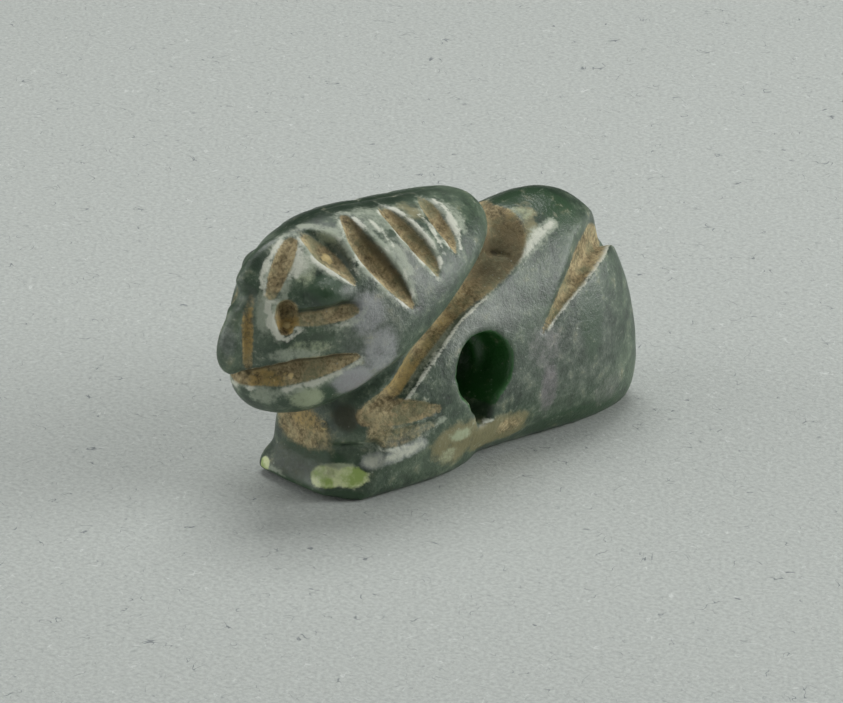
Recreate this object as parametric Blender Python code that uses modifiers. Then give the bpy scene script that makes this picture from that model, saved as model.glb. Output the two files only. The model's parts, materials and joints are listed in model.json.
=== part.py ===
"""Small stone amulet of a lying sphinx, carved in one piece and drilled across for a cord.

The sphinx faces -Y and lies along Y on its flat underside, at Z = 0. X runs across it, and its
better kept side is the +X one. The stone is first joined from a few smooth masses, then cut with
round tools along each carved line, drilled, and worn smooth all over. All of that is done in
millimetres, and the finished stone is brought to Blender's metres at the end.
"""

from math import atan2, cos, pi, sin

import bmesh
import bpy
import numpy as np
from mathutils import Matrix, Vector
from mathutils.bvhtree import BVHTree

MM = 0.001

# Hole for the cord, in millimetres: two tapering drillings that meet a little off line
HOLE_DIAMETER = 2.3
HOLE_WAIST = 1.5
HOLE_Y, HOLE_Z = 0.42, 3.2
DRILLED_DEPTH = 3.2
DRILLED_OVERLAP = 0.2
DRILL_SLIP = 0.06

# Drilled pupils, in millimetres, given for the near eye
PUPIL_CENTRE = (1.25, -6.15, 6.26)
PUPIL_RADII = (0.34, 0.45, 0.34)

# Dip between the brow and the nose, in millimetres
NOSE_ROOT_CENTRE = (0, -7.5, 6.85)
NOSE_ROOT_RADII = (0.9, 0.5, 0.36)

# Broken front corner of the base: a point on the break, in millimetres, and the way the break faces
CORNER_BREAK = (1.4, -4.3, 0.5)
CORNER_FACING = (0.72, -0.6, 0.35)
CORNER_REACH = 2.5

# Notch that a cord wore in the near rim of the hole, in millimetres
NOTCH_RADII = (0.24, 0.4)
NOTCH_Y, NOTCH_Z = 0.22, 1.95
NOTCH_FROM, NOTCH_TO = 1.0, 3.3

# How high up each mass is widest, as a share of its height
BODY_WIDEST = 0.38
HEAD_WIDEST = 0.34
FORELEG_WIDEST = 0.5

# How finely the masses and the worn surface are modelled
RING_POINTS = 16
ROUNDING_LEVELS = 3
TOOL_ROUNDNESS = 4
BORE_SEGMENTS = 32
WELD = 0.0001
WORN_CELL = 0.1
WORN_PASSES = 3
KEPT_SHARE = 0.085
SHARP_ANGLE = 0.7

# Polished dark green stone
STONE_COLOUR = (0.062, 0.088, 0.060, 1.0)
STONE_ROUGHNESS = 0.35

# Marks the hidden side does without
NEAR_SIDE_ONLY = ("shoulder_low",)


def clear_scene():
    """Removes whatever the file opened with."""
    for obj in list(bpy.data.objects):
        bpy.data.objects.remove(obj)


def collection(name):
    """A new collection in the scene."""
    made = bpy.data.collections.new(name)
    bpy.context.scene.collection.children.link(made)
    return made


def object_from(bm, name, home):
    """A mesh object made from bm, which is freed."""
    mesh = bpy.data.meshes.new(name)
    bm.to_mesh(mesh)
    bm.free()
    obj = bpy.data.objects.new(name, mesh)
    home.objects.link(obj)
    return obj


def squared(value, boxiness):
    """A sine or cosine pushed outwards, so that a round section turns into a rounded box."""
    return (abs(value) ** (2 / boxiness)) * (1 if value >= 0 else -1)


def add_ring(bm, widest, y, half_width, low, high, top_boxiness, foot_boxiness):
    """One upright closed section of a loft, with its own roundness above and below. Returns its edges."""
    made = bmesh.ops.create_circle(bm, segments=RING_POINTS, radius=1.0)
    waist = low + (high - low) * widest
    for vert in made["verts"]:
        angle = atan2(vert.co.y, vert.co.x)
        above = angle > 0
        boxiness = top_boxiness if above else foot_boxiness
        across = half_width * squared(cos(angle), boxiness)
        up = (high - waist if above else waist - low) * squared(sin(angle), boxiness)
        vert.co = (across, y, waist + up)
    return list({edge for vert in made["verts"] for edge in vert.link_edges})


def loft(name, widest, sections, home):
    """A smooth closed mass through upright sections (y, half width, low, high, top and foot boxiness)."""
    bm = bmesh.new()
    rings = [add_ring(bm, widest, *section) for section in sections]
    for ring, following in zip(rings, rings[1:]):
        bmesh.ops.bridge_loops(bm, edges=ring + following)
    for ring in (rings[0], rings[-1]):
        bmesh.ops.edgeloop_fill(bm, edges=ring)
    bmesh.ops.recalc_face_normals(bm, faces=bm.faces)
    obj = object_from(bm, name, home)
    smooth = obj.modifiers.new("rounding", "SUBSURF")
    smooth.levels = smooth.render_levels = ROUNDING_LEVELS
    return obj


def body_mass(home):
    """The lying body: chest, back, rump and flat belly."""
    sections = (
        (-4.45, 1.4, -0.3, 2.6, 2.0, 2.6),
        (-4.05, 1.9, -0.4, 3.6, 2.0, 2.8),
        (-2.8, 2.4, -0.4, 5.4, 2.1, 2.8),
        (-1.0, 2.75, -0.3, 6.4, 2.2, 2.7),
        (0.6, 2.75, -0.3, 6.9, 2.1, 2.7),
        (2.0, 2.7, -0.35, 7.0, 2.1, 2.7),
        (3.6, 2.8, -0.5, 7.05, 2.1, 2.7),
        (5.2, 2.9, -0.6, 7.2, 2.1, 2.8),
        (6.6, 2.5, -0.7, 6.6, 2.05, 2.8),
        (7.5, 2.05, -0.6, 4.95, 2.0, 2.7),
        (8.0, 1.1, 0.5, 3.7, 2.0, 2.2),
    )
    return loft("body_mass", BODY_WIDEST, sections, home)


def head_mass(home):
    """Head and headdress as one long egg, from the face back to the tip over the shoulders."""
    sections = (
        (-7.0, 0.4, 3.9, 6.6, 2.0, 2.0),
        (-6.75, 0.8, 3.4, 7.3, 2.0, 2.0),
        (-6.2, 1.4, 2.95, 7.8, 1.9, 2.1),
        (-5.4, 2.0, 2.8, 8.3, 1.9, 2.3),
        (-4.4, 2.55, 2.95, 8.6, 1.9, 2.3),
        (-3.1, 2.95, 3.6, 8.6, 1.9, 2.3),
        (-1.7, 2.9, 4.4, 8.4, 1.9, 2.2),
        (-0.4, 2.6, 5.2, 8.2, 1.9, 2.2),
        (0.8, 2.1, 5.9, 8.1, 1.9, 2.1),
        (1.75, 1.45, 6.4, 7.95, 2.0, 2.0),
        (2.25, 0.8, 6.7, 7.6, 2.0, 2.0),
    )
    return loft("head_mass", HEAD_WIDEST, sections, home)


def foreleg_mass(home):
    """The low base under the chin, with the folded forelegs along its sides."""
    sections = (
        (-4.84, 1.6, -0.2, 0.42, 2.6, 3.0),
        (-4.6, 2.0, -0.4, 0.75, 2.6, 3.0),
        (-4.3, 2.1, -0.45, 1.2, 2.6, 3.0),
        (-3.6, 2.05, -0.5, 1.4, 2.6, 2.8),
        (-2.4, 2.35, -0.5, 1.9, 2.4, 2.8),
        (-1.0, 2.6, -0.5, 2.3, 2.3, 2.8),
        (0.2, 2.4, -0.4, 2.0, 2.2, 2.8),
        (1.2, 1.9, -0.3, 1.4, 2.0, 2.6),
    )
    return loft("foreleg_mass", FORELEG_WIDEST, sections, home)


def ellipsoid(name, centre, radii, tilt, home):
    """A UV sphere stretched to radii (x, y, z), turned by tilt about X, at centre."""
    bm = bmesh.new()
    bmesh.ops.create_uvsphere(bm, u_segments=24, v_segments=16, radius=1.0)
    bmesh.ops.scale(bm, vec=radii, verts=bm.verts)
    bmesh.ops.rotate(bm, cent=(0, 0, 0), matrix=Matrix.Rotation(tilt, 3, "X"), verts=bm.verts)
    bmesh.ops.translate(bm, vec=centre, verts=bm.verts)
    return object_from(bm, name, home)


def facet(name, point, facing, size, home):
    """A cube that takes away everything beyond point, as seen along facing, over a patch of this size."""
    bm = bmesh.new()
    bmesh.ops.create_cube(bm, size=size)
    bmesh.ops.translate(bm, vec=(0, 0, size / 2), verts=bm.verts)
    turn = Vector(facing).to_track_quat("Z", "Y").to_matrix()
    bmesh.ops.rotate(bm, cent=(0, 0, 0), matrix=turn, verts=bm.verts)
    bmesh.ops.translate(bm, vec=point, verts=bm.verts)
    return object_from(bm, name, home)


def worked_out(obj):
    """The object's shape with its modifiers worked out, as a new mesh."""
    bpy.context.view_layer.update()
    return bpy.data.meshes.new_from_object(obj.evaluated_get(bpy.context.evaluated_depsgraph_get()))


def tube(name, path, home):
    """A round tapering tool through path, a list of (centre, radius), closed at both ends."""
    curve = bpy.data.curves.new(name, "CURVE")
    curve.dimensions = "3D"
    curve.bevel_depth = 1.0
    curve.bevel_resolution = TOOL_ROUNDNESS
    curve.use_fill_caps = True
    spline = curve.splines.new("POLY")
    spline.points.add(len(path) - 1)
    for knot, (centre, radius) in zip(spline.points, path):
        knot.co = (*centre, 1.0)
        knot.radius = radius
    drawn = bpy.data.objects.new(name + "_path", curve)
    home.objects.link(drawn)
    mesh = worked_out(drawn)
    bpy.data.objects.remove(drawn)
    bm = bmesh.new()
    bm.from_mesh(mesh)
    bpy.data.meshes.remove(mesh)
    bmesh.ops.remove_doubles(bm, verts=bm.verts, dist=WELD)
    bmesh.ops.recalc_face_normals(bm, faces=bm.faces)
    return object_from(bm, name, home)


def gouge(name, tree, stroke, home):
    """A tool mark along stroke: (x, y, z, width, depth), laid on the stone's own surface."""
    path = []
    for x, y, z, width, depth in stroke:
        place, outward, _, _ = tree.find_nearest((x, y, z))
        radius = (width * width / 4 + depth * depth) / (2 * depth)
        path.append((place + outward * (radius - depth), radius))
    return tube(name, path, home)


def strokes():
    """Every tool mark of the near side by name, each as a path of (x, y, z, width, depth)."""
    return {
        "collar": (
            (0.0, 2.9, 7.0, 1.0, 0.2), (0.7, 3.0, 6.85, 1.4, 0.4), (1.25, 2.7, 6.5, 1.5, 0.6),
            (1.65, 1.9, 6.2, 1.35, 0.65), (1.95, 0.8, 5.75, 1.1, 0.6), (2.15, -0.4, 5.2, 0.85, 0.5),
            (2.3, -1.3, 4.55, 0.8, 0.45), (2.3, -2.1, 3.85, 0.75, 0.42), (2.2, -2.7, 3.2, 0.7, 0.36),
            (1.9, -3.4, 2.8, 0.6, 0.25),
        ),
        "haunch": (
            (0.6, 7.4, 4.9, 1.0, 0.35), (1.3, 6.75, 5.7, 1.15, 0.6), (2.1, 5.5, 5.5, 0.85, 0.45),
            (2.42, 4.5, 5.0, 0.68, 0.34), (2.6, 3.7, 4.5, 0.48, 0.2), (2.65, 2.9, 3.75, 0.25, 0.08),
        ),
        "beside_nose": (
            (0.38, -6.85, 6.9, 0.2, 0.08), (0.42, -6.95, 6.0, 0.3, 0.15), (0.45, -7.0, 4.8, 0.25, 0.12),
        ),
        "temple": (
            (0.5, -5.2, 8.25, 0.5, 0.12), (0.66, -5.7, 7.9, 0.6, 0.22), (0.82, -6.2, 7.1, 0.5, 0.16),
        ),
        "brow": (
            (0.6, -4.85, 8.35, 0.4, 0.12), (1.3, -4.7, 8.0, 0.72, 0.34), (1.95, -4.4, 7.5, 0.5, 0.26),
            (2.15, -4.3, 7.25, 0.2, 0.08),
        ),
        "lock_front": (
            (1.0, -3.35, 8.35, 0.3, 0.1), (1.45, -3.42, 8.15, 0.56, 0.3), (2.05, -3.4, 7.7, 0.64, 0.42),
            (2.55, -3.15, 7.0, 0.5, 0.3), (2.8, -2.6, 6.2, 0.2, 0.08),
        ),
        "lock_middle": (
            (0.8, -2.0, 8.35, 0.3, 0.1), (1.25, -2.1, 8.2, 0.54, 0.28), (2.0, -2.0, 7.8, 0.62, 0.4),
            (2.45, -1.85, 7.4, 0.48, 0.28), (2.7, -1.5, 6.8, 0.2, 0.08),
        ),
        "lock_back": (
            (0.7, -0.3, 8.2, 0.3, 0.1), (1.3, -0.45, 8.05, 0.5, 0.22), (1.8, -0.55, 7.8, 0.54, 0.3),
            (2.15, -0.55, 7.5, 0.42, 0.2), (2.35, -0.5, 7.2, 0.2, 0.08),
        ),
        "eye": (
            (1.25, -6.15, 6.25, 0.5, 0.25), (1.6, -5.8, 6.2, 0.5, 0.28), (1.9, -5.35, 6.2, 0.5, 0.3),
            (2.12, -4.95, 6.25, 0.48, 0.26), (2.3, -4.6, 6.35, 0.25, 0.1),
        ),
        "mouth": (
            (0.1, -7.0, 4.25, 0.5, 0.3), (0.45, -6.9, 4.25, 0.7, 0.35), (0.75, -6.7, 4.25, 0.75, 0.38),
            (1.15, -6.3, 4.3, 0.75, 0.38), (1.65, -5.75, 4.4, 0.65, 0.3), (2.05, -5.05, 4.6, 0.45, 0.2),
            (2.35, -4.4, 4.8, 0.2, 0.1),
        ),
        "shoulder_high": (
            (1.8, -3.6, 2.6, 0.6, 0.18), (2.3, -2.6, 2.6, 0.8, 0.26), (2.6, -1.4, 2.45, 0.3, 0.1),
        ),
        "shoulder_low": (
            (2.0, -3.5, 1.85, 0.5, 0.12), (2.3, -2.6, 1.85, 0.62, 0.18), (2.5, -1.6, 2.0, 0.3, 0.1),
        ),
    }


def bore(home):
    """The hole for the cord, drilled from each side towards the middle."""
    for side, label in ((1, "near"), (-1, "far")):
        bm = bmesh.new()
        bmesh.ops.create_cone(
            bm, cap_ends=True, segments=BORE_SEGMENTS, radius1=HOLE_WAIST / 2, radius2=HOLE_DIAMETER / 2,
            depth=DRILLED_DEPTH, matrix=Matrix.Rotation(side * pi / 2, 4, "Y"),
        )
        across = side * (DRILLED_DEPTH / 2 - DRILLED_OVERLAP)
        bmesh.ops.translate(bm, vec=(across, HOLE_Y, HOLE_Z + side * DRILL_SLIP), verts=bm.verts)
        object_from(bm, "bore_" + label, home)


def worn_notch(home):
    """The notch that the cord wore in the near rim of the hole, below it."""
    inner, outer = NOTCH_RADII
    bm = bmesh.new()
    bmesh.ops.create_cone(
        bm, cap_ends=True, segments=BORE_SEGMENTS, radius1=inner, radius2=outer,
        depth=NOTCH_TO - NOTCH_FROM, matrix=Matrix.Rotation(pi / 2, 4, "Y"),
    )
    bmesh.ops.translate(bm, vec=((NOTCH_FROM + NOTCH_TO) / 2, NOTCH_Y, NOTCH_Z), verts=bm.verts)
    object_from(bm, "worn_notch", home)


def combine(obj, name, operation, others):
    """Joins or cuts everything in the collection others with obj."""
    step = obj.modifiers.new(name, "BOOLEAN")
    step.operation = operation
    step.solver = "EXACT"
    step.operand_type = "COLLECTION"
    step.collection = others


def settled(obj):
    """Works out the object's modifiers once and for all, so that later steps start from its real faces."""
    mesh = worked_out(obj)
    obj.modifiers.clear()
    obj.data = mesh


def joined_masses(work, masses):
    """Body, head, forelegs, nose and brow ridge as one closed blank."""
    stone = body_mass(work)
    head_mass(masses)
    foreleg_mass(masses)
    ellipsoid("nose_mass", (0, -6.8, 5.5), (0.42, 0.86, 1.15), -0.52, masses)
    ellipsoid("brow_mass", (0, -5.2, 6.05), (0.75, 2.15, 2.3), 0.1, masses)
    combine(stone, "join the masses", "UNION", masses)
    settled(stone)
    return stone


def cut_marks(stone, tools):
    """Carves both sides of the blank, drills it and breaks its front corner."""
    tree = BVHTree.FromObject(stone, bpy.context.evaluated_depsgraph_get())
    pupil_x, pupil_y, pupil_z = PUPIL_CENTRE
    for side, label in ((1, "_near"), (-1, "_far")):
        for name, stroke in strokes().items():
            if side < 0 and name in NEAR_SIDE_ONLY:
                continue
            placed = [(x * side, y, z, width, depth) for x, y, z, width, depth in stroke]
            gouge(name + label, tree, placed, tools)
        ellipsoid("pupil" + label, (side * pupil_x, pupil_y, pupil_z), PUPIL_RADII, 0.0, tools)
    ellipsoid("nose_root", NOSE_ROOT_CENTRE, NOSE_ROOT_RADII, 0.0, tools)
    bore(tools)
    worn_notch(tools)
    facet("corner_break", CORNER_BREAK, CORNER_FACING, CORNER_REACH, tools)
    combine(stone, "cut the marks", "DIFFERENCE", tools)
    settled(stone)


def wear(stone):
    """Rounds every edge a little, as long handling does, and keeps the faces few."""
    worn = stone.modifiers.new("worn surface", "REMESH")
    worn.mode = "VOXEL"
    worn.voxel_size = WORN_CELL
    soft = stone.modifiers.new("soft edges", "SMOOTH")
    soft.iterations = WORN_PASSES
    soft.factor = 0.5
    lighter = stone.modifiers.new("fewer faces", "DECIMATE")
    lighter.ratio = KEPT_SHARE
    settled(stone)


def flatten_underside(stone, ground):
    """Cuts the stone off level at Z = 0, where it lies."""
    facet("ground_cut", (0, 0, 0), (0, 0, -1), 30.0, ground)
    combine(stone, "flat underside", "DIFFERENCE", ground)
    settled(stone)


def stone_material():
    """Dark green stone with a soft polish."""
    made = bpy.data.materials.new("green_stone")
    made.use_nodes = True
    shader = made.node_tree.nodes["Principled BSDF"]
    shader.inputs["Base Color"].default_value = STONE_COLOUR
    shader.inputs["Roughness"].default_value = STONE_ROUGHNESS
    shader.inputs["Metallic"].default_value = 0.0
    return made


def finish(stone):
    """Centres the stone over the origin, brings it to metres and shades it."""
    mesh = stone.data
    places = np.empty(len(mesh.vertices) * 3)
    mesh.vertices.foreach_get("co", places)
    places = places.reshape(-1, 3)
    middle = (places.min(axis=0) + places.max(axis=0)) / 2
    low = places[:, 2].min()
    mesh.transform(Matrix.Scale(MM, 4) @ Matrix.Translation((-middle[0], -middle[1], -low)))
    mesh.shade_smooth()
    mesh.set_sharp_from_angle(angle=SHARP_ANGLE)
    mesh.materials.clear()
    mesh.materials.append(stone_material())
    stone.name = mesh.name = "sphinx_amulet"


def main():
    clear_scene()
    finished = collection("sphinx_amulet")
    masses = collection("masses")
    tools = collection("cutters")
    ground = collection("ground")
    stone = joined_masses(finished, masses)
    cut_marks(stone, tools)
    wear(stone)
    flatten_underside(stone, ground)
    finish(stone)
    for home in (masses, tools, ground):
        for obj in home.objects:
            obj.hide_render = True
            obj.display_type = "WIRE"


if __name__ == "__main__":
    main()
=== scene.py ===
"""Dress of the sphinx amulet: one small carved green stone, lying on grey paper.

The stone is modelled in millimetres, in the way that it was made: a blank is joined from smooth
masses, drilled from both sides, cut with small tools along each carved line and worn by handling.
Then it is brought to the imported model's metres and stands in for the plain solid.
"""

import json
import logging
from dataclasses import dataclass, field
from enum import Enum
from math import atan2, cos, pi, radians, sin
from typing import Any, Sequence

import bmesh
import bpy
import numpy as np
from mathutils import Matrix, Vector, noise
from mathutils.bvhtree import BVHTree
from mathutils.kdtree import KDTree

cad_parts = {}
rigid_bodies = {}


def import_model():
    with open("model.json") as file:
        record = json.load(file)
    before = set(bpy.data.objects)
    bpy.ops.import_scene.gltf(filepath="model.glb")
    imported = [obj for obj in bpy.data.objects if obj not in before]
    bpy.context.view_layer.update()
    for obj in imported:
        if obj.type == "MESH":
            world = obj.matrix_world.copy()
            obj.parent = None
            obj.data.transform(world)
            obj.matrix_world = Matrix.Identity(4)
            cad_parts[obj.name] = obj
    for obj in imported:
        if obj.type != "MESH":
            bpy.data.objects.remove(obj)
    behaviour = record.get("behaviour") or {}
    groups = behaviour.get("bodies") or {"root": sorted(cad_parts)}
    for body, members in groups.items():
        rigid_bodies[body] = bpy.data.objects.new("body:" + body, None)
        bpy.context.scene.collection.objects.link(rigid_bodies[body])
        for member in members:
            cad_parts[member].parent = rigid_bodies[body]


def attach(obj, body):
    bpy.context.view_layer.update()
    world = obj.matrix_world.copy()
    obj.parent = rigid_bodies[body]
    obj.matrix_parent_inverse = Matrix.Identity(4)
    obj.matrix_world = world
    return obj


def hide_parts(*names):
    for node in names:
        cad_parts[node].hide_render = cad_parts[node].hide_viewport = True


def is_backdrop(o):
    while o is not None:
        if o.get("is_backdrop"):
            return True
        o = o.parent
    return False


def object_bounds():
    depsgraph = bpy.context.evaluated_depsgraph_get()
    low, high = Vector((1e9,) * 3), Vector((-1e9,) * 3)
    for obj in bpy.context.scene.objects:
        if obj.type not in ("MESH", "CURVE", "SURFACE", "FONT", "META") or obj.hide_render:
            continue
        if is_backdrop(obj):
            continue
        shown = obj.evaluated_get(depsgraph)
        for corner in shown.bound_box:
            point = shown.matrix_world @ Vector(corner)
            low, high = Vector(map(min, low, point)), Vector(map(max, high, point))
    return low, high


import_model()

LOG = logging.getLogger("sphinx_amulet")
MM = 0.001

# The masses are given about the middle of the drilled hole's body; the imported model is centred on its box
CENTRING = (0.0, -0.133, 0.0)

Point = tuple[float, float, float]
Knot = tuple[float, float, float, float, float]
Section = tuple[float, float, float, float, float, float]
Rows = np.ndarray


def linear(colour: str) -> tuple[float, float, float, float]:
    """Turns an sRGB hex colour into the linear colour that shaders use.

    Args:
        colour: Six hex digits with a leading hash sign.

    Returns:
        Red, green, blue and an alpha of one.
    """
    parts = [int(colour[i:i + 2], 16) / 255 for i in (1, 3, 5)]
    red, green, blue = (c / 12.92 if c <= 0.04045 else ((c + 0.055) / 1.055) ** 2.4 for c in parts)
    return red, green, blue, 1.0


def add_node(tree: bpy.types.NodeTree, kind: str, sockets: dict[Any, Any] | None = None,
             stops: Sequence[tuple[float, str]] = (), **settings: Any) -> bpy.types.Node:
    """Adds one node with its settings, its socket values and its links.

    Args:
        tree: The node tree that gets the node.
        kind: Blender's name for the node type.
        sockets: Input name or number to a value, or to the output socket that feeds it.
        stops: Places and hex colours, for a colour ramp.
        settings: Attributes of the node itself.

    Returns:
        The new node.
    """
    node = tree.nodes.new(kind)
    for place, colour in stops[2:]:
        node.color_ramp.elements.new(place)
    for number, (place, colour) in enumerate(stops):
        node.color_ramp.elements[number].position = place
        node.color_ramp.elements[number].color = linear(colour)
    for name, value in settings.items():
        setattr(node, name, value)
    for key, value in (sockets or {}).items():
        if isinstance(value, bpy.types.NodeSocket):
            tree.links.new(value, node.inputs[key])
        else:
            node.inputs[key].default_value = value
    return node


def product(tree: bpy.types.NodeTree, one: Any, other: Any) -> Any:
    """Adds the product of two sockets or numbers, and returns its socket."""
    return add_node(tree, "ShaderNodeMath", {0: one, 1: other}, operation="MULTIPLY").outputs[0]


def covered(tree: bpy.types.NodeTree, colour: Any, over: Any, share: Any) -> Any:
    """Adds a mix of a colour with one laid over it by a share, and returns its socket."""
    return add_node(tree, "ShaderNodeMix", {0: share, 6: colour, 7: over}, data_type="RGBA").outputs[2]


def ranged(tree: bpy.types.NodeTree, value: Any, start: float, end: float, most: float = 1.0,
           blend: str = "LINEAR") -> Any:
    """Adds a step from 0 at start to the most at end, and returns its socket."""
    return add_node(tree, "ShaderNodeMapRange", {
        "Value": value, "From Min": start, "From Max": end, "To Max": most,
    }, interpolation_type=blend).outputs["Result"]


def millimetres(tree: bpy.types.NodeTree) -> Any:
    """Adds the piece's own coordinates in millimetres, and returns their socket."""
    coords = add_node(tree, "ShaderNodeTexCoord").outputs["Object"]
    return add_node(tree, "ShaderNodeMapping", {"Vector": coords, "Scale": (1000, 1000, 1000)},
                    vector_type="POINT").outputs["Vector"]


def weighted_sum(tree: bpy.types.NodeTree, parts: Sequence[tuple[Any, float]], start: Any = 0.0) -> Any:
    """Adds sockets up, each with its weight.

    Args:
        tree: The material's nodes.
        parts: Pairs of a socket and its weight.
        start: What the sum starts from, a number or a socket.

    Returns:
        The sum's socket.
    """
    total = start
    for part, weight in parts:
        total = add_node(tree, "ShaderNodeMath", {0: part, 1: weight, 2: total},
                         operation="MULTIPLY_ADD").outputs[0]
    return total


def flecked(tree: bpy.types.NodeTree, colour: Any, flecks: Sequence[tuple[Any, float, float, float, str]],
            blend: str) -> Any:
    """Scatters flecks over a colour, each kind where its grain passes a range.

    Args:
        tree: The material's nodes.
        colour: The socket of the colour below.
        flecks: Grain socket, where flecks begin and are full, their cover and their hex colour.
        blend: How they fade in: LINEAR or SMOOTHSTEP.

    Returns:
        The flecked colour's socket.
    """
    for grain, start, end, cover, over in flecks:
        colour = covered(tree, colour, linear(over), ranged(tree, grain, start, end, cover, blend))
    return colour


def squared(value: float, boxiness: float) -> float:
    """Pushes a sine or cosine outwards, so that a round section turns into a rounded box."""
    return (abs(value) ** (2 / boxiness)) * (1 if value >= 0 else -1)


def eased(value: Rows, start: float, end: float) -> Rows:
    """A smooth step from 0 at start to 1 at end, either way round."""
    step = np.clip((value - start) / (end - start), 0.0, 1.0)
    return step * step * (3 - 2 * step)


def unevenness(points: Rows, size: float | Sequence[float], seed: float) -> Rows:
    """Smooth random heights on points.

    Args:
        points: Rows of x, y, z in millimetres.
        size: Size of one bump in millimetres, or one size for each axis.
        seed: Any number; each gives its own pattern.

    Returns:
        One height for each point, from about -1 to 1.
    """
    scaled = points / np.asarray(size) + np.array((seed, 2.7 * seed, -1.3 * seed))
    return np.array([noise.noise(Vector(place)) for place in scaled])


def surface_rows(mesh: bpy.types.Mesh) -> tuple[Rows, Rows]:
    """The mesh's vertex places and normals, each as rows of x, y, z."""
    found = []
    for parts, key in ((mesh.vertices, "co"), (mesh.vertex_normals, "vector")):
        rows = np.empty(len(mesh.vertices) * 3)
        parts.foreach_get(key, rows)
        found.append(rows.reshape(-1, 3))
    return found[0], found[1]


def set_rows(mesh: bpy.types.Mesh, rows: Rows) -> None:
    """Moves the mesh's vertices to these places."""
    mesh.vertices.foreach_set("co", rows.ravel())
    mesh.update()


def object_from(bm: bmesh.types.BMesh, name: str, home: bpy.types.Collection) -> bpy.types.Object:
    """Makes a mesh object from bm, which is freed."""
    mesh = bpy.data.meshes.new(name)
    bm.to_mesh(mesh)
    bm.free()
    obj = bpy.data.objects.new(name, mesh)
    home.objects.link(obj)
    return obj


def settled(obj: bpy.types.Object) -> None:
    """Works out the object's modifiers once and for all."""
    bpy.context.view_layer.update()
    graph = bpy.context.evaluated_depsgraph_get()
    mesh = bpy.data.meshes.new_from_object(obj.evaluated_get(graph))
    obj.modifiers.clear()
    obj.data = mesh


def combined(obj: bpy.types.Object, operation: str, others: bpy.types.Collection) -> None:
    """Joins or cuts everything in a collection with the object, and works it out."""
    step = obj.modifiers.new(operation.lower(), "BOOLEAN")
    step.operation = operation
    step.solver = "EXACT"
    step.operand_type = "COLLECTION"
    step.collection = others
    settled(obj)


@dataclass(frozen=True)
class Mass:
    """A smooth closed mass through upright sections along Y."""

    name: str
    sections: tuple[Section, ...]
    widest: float = 0.5
    ring_points: int = 16
    rounding: int = 3

    def ring(self, bm: bmesh.types.BMesh, section: Section) -> list[bmesh.types.BMEdge]:
        """Adds one closed section.

        Args:
            bm: The mesh being made.
            section: Its y, half width, lowest and highest z, and roundness above and below.

        Returns:
            The section's edges.
        """
        y, half_width, low, high, top_boxiness, foot_boxiness = section
        made = bmesh.ops.create_circle(bm, segments=self.ring_points, radius=1.0)
        waist = low + (high - low) * self.widest
        for vert in made["verts"]:
            angle = atan2(vert.co.y, vert.co.x)
            boxiness, half_height = (top_boxiness, high - waist) if angle > 0 else (foot_boxiness, waist - low)
            across = half_width * squared(cos(angle), boxiness)
            vert.co = (across, y, waist + half_height * squared(sin(angle), boxiness))
        return list({edge for vert in made["verts"] for edge in vert.link_edges})

    def build(self, home: bpy.types.Collection) -> bpy.types.Object:
        """Makes the mass in a collection."""
        bm = bmesh.new()
        rings = [self.ring(bm, section) for section in self.sections]
        for one, following in zip(rings, rings[1:]):
            bmesh.ops.bridge_loops(bm, edges=one + following)
        for end in (rings[0], rings[-1]):
            bmesh.ops.edgeloop_fill(bm, edges=end)
        bmesh.ops.recalc_face_normals(bm, faces=bm.faces)
        obj = object_from(bm, self.name, home)
        smooth = obj.modifiers.new("rounding", "SUBSURF")
        smooth.levels = smooth.render_levels = self.rounding
        return obj


@dataclass(frozen=True)
class Egg:
    """A stretched ball, for the nose and the brow."""

    name: str
    centre: Point
    radii: Point
    tilt: float = 0.0

    def build(self, home: bpy.types.Collection) -> bpy.types.Object:
        """Makes the ball in a collection."""
        bm = bmesh.new()
        bmesh.ops.create_uvsphere(bm, u_segments=48, v_segments=32, radius=1.0)
        bmesh.ops.scale(bm, vec=self.radii, verts=bm.verts)
        bmesh.ops.rotate(bm, cent=(0, 0, 0), matrix=Matrix.Rotation(self.tilt, 3, "X"), verts=bm.verts)
        bmesh.ops.translate(bm, vec=self.centre, verts=bm.verts)
        return object_from(bm, self.name, home)


@dataclass(frozen=True)
class Drilling:
    """One tapering drilling along X, from a mouth outside the stone to its end inside it."""

    name: str
    mouth_x: float
    end_x: float
    mouth_radius: float
    end_radius: float
    y: float
    z: float

    def build(self, home: bpy.types.Collection) -> bpy.types.Object:
        """Makes the drilling as a solid in a collection."""
        low_radius, high_radius = self.end_radius, self.mouth_radius
        if self.mouth_x < self.end_x:
            low_radius, high_radius = high_radius, low_radius
        bm = bmesh.new()
        bmesh.ops.create_cone(
            bm, cap_ends=True, segments=64, radius1=low_radius, radius2=high_radius,
            depth=abs(self.mouth_x - self.end_x), matrix=Matrix.Rotation(pi / 2, 4, "Y"),
        )
        middle = (self.mouth_x + self.end_x) / 2
        bmesh.ops.translate(bm, vec=(middle, self.y, self.z), verts=bm.verts)
        bmesh.ops.recalc_face_normals(bm, faces=bm.faces)
        return object_from(bm, self.name, home)


@dataclass(frozen=True)
class Break:
    """A flat break or cut that takes away everything beyond a point, as seen along its facing."""

    name: str
    point: Point
    facing: Point
    size: float

    def build(self, home: bpy.types.Collection) -> bpy.types.Object:
        """Makes the block that is taken away, in a collection."""
        bm = bmesh.new()
        bmesh.ops.create_cube(bm, size=self.size)
        bmesh.ops.translate(bm, vec=(0, 0, self.size / 2), verts=bm.verts)
        turn = Vector(self.facing).to_track_quat("Z", "Y").to_matrix()
        bmesh.ops.rotate(bm, cent=(0, 0, 0), matrix=turn, verts=bm.verts)
        bmesh.ops.translate(bm, vec=self.point, verts=bm.verts)
        return object_from(bm, self.name, home)


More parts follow.
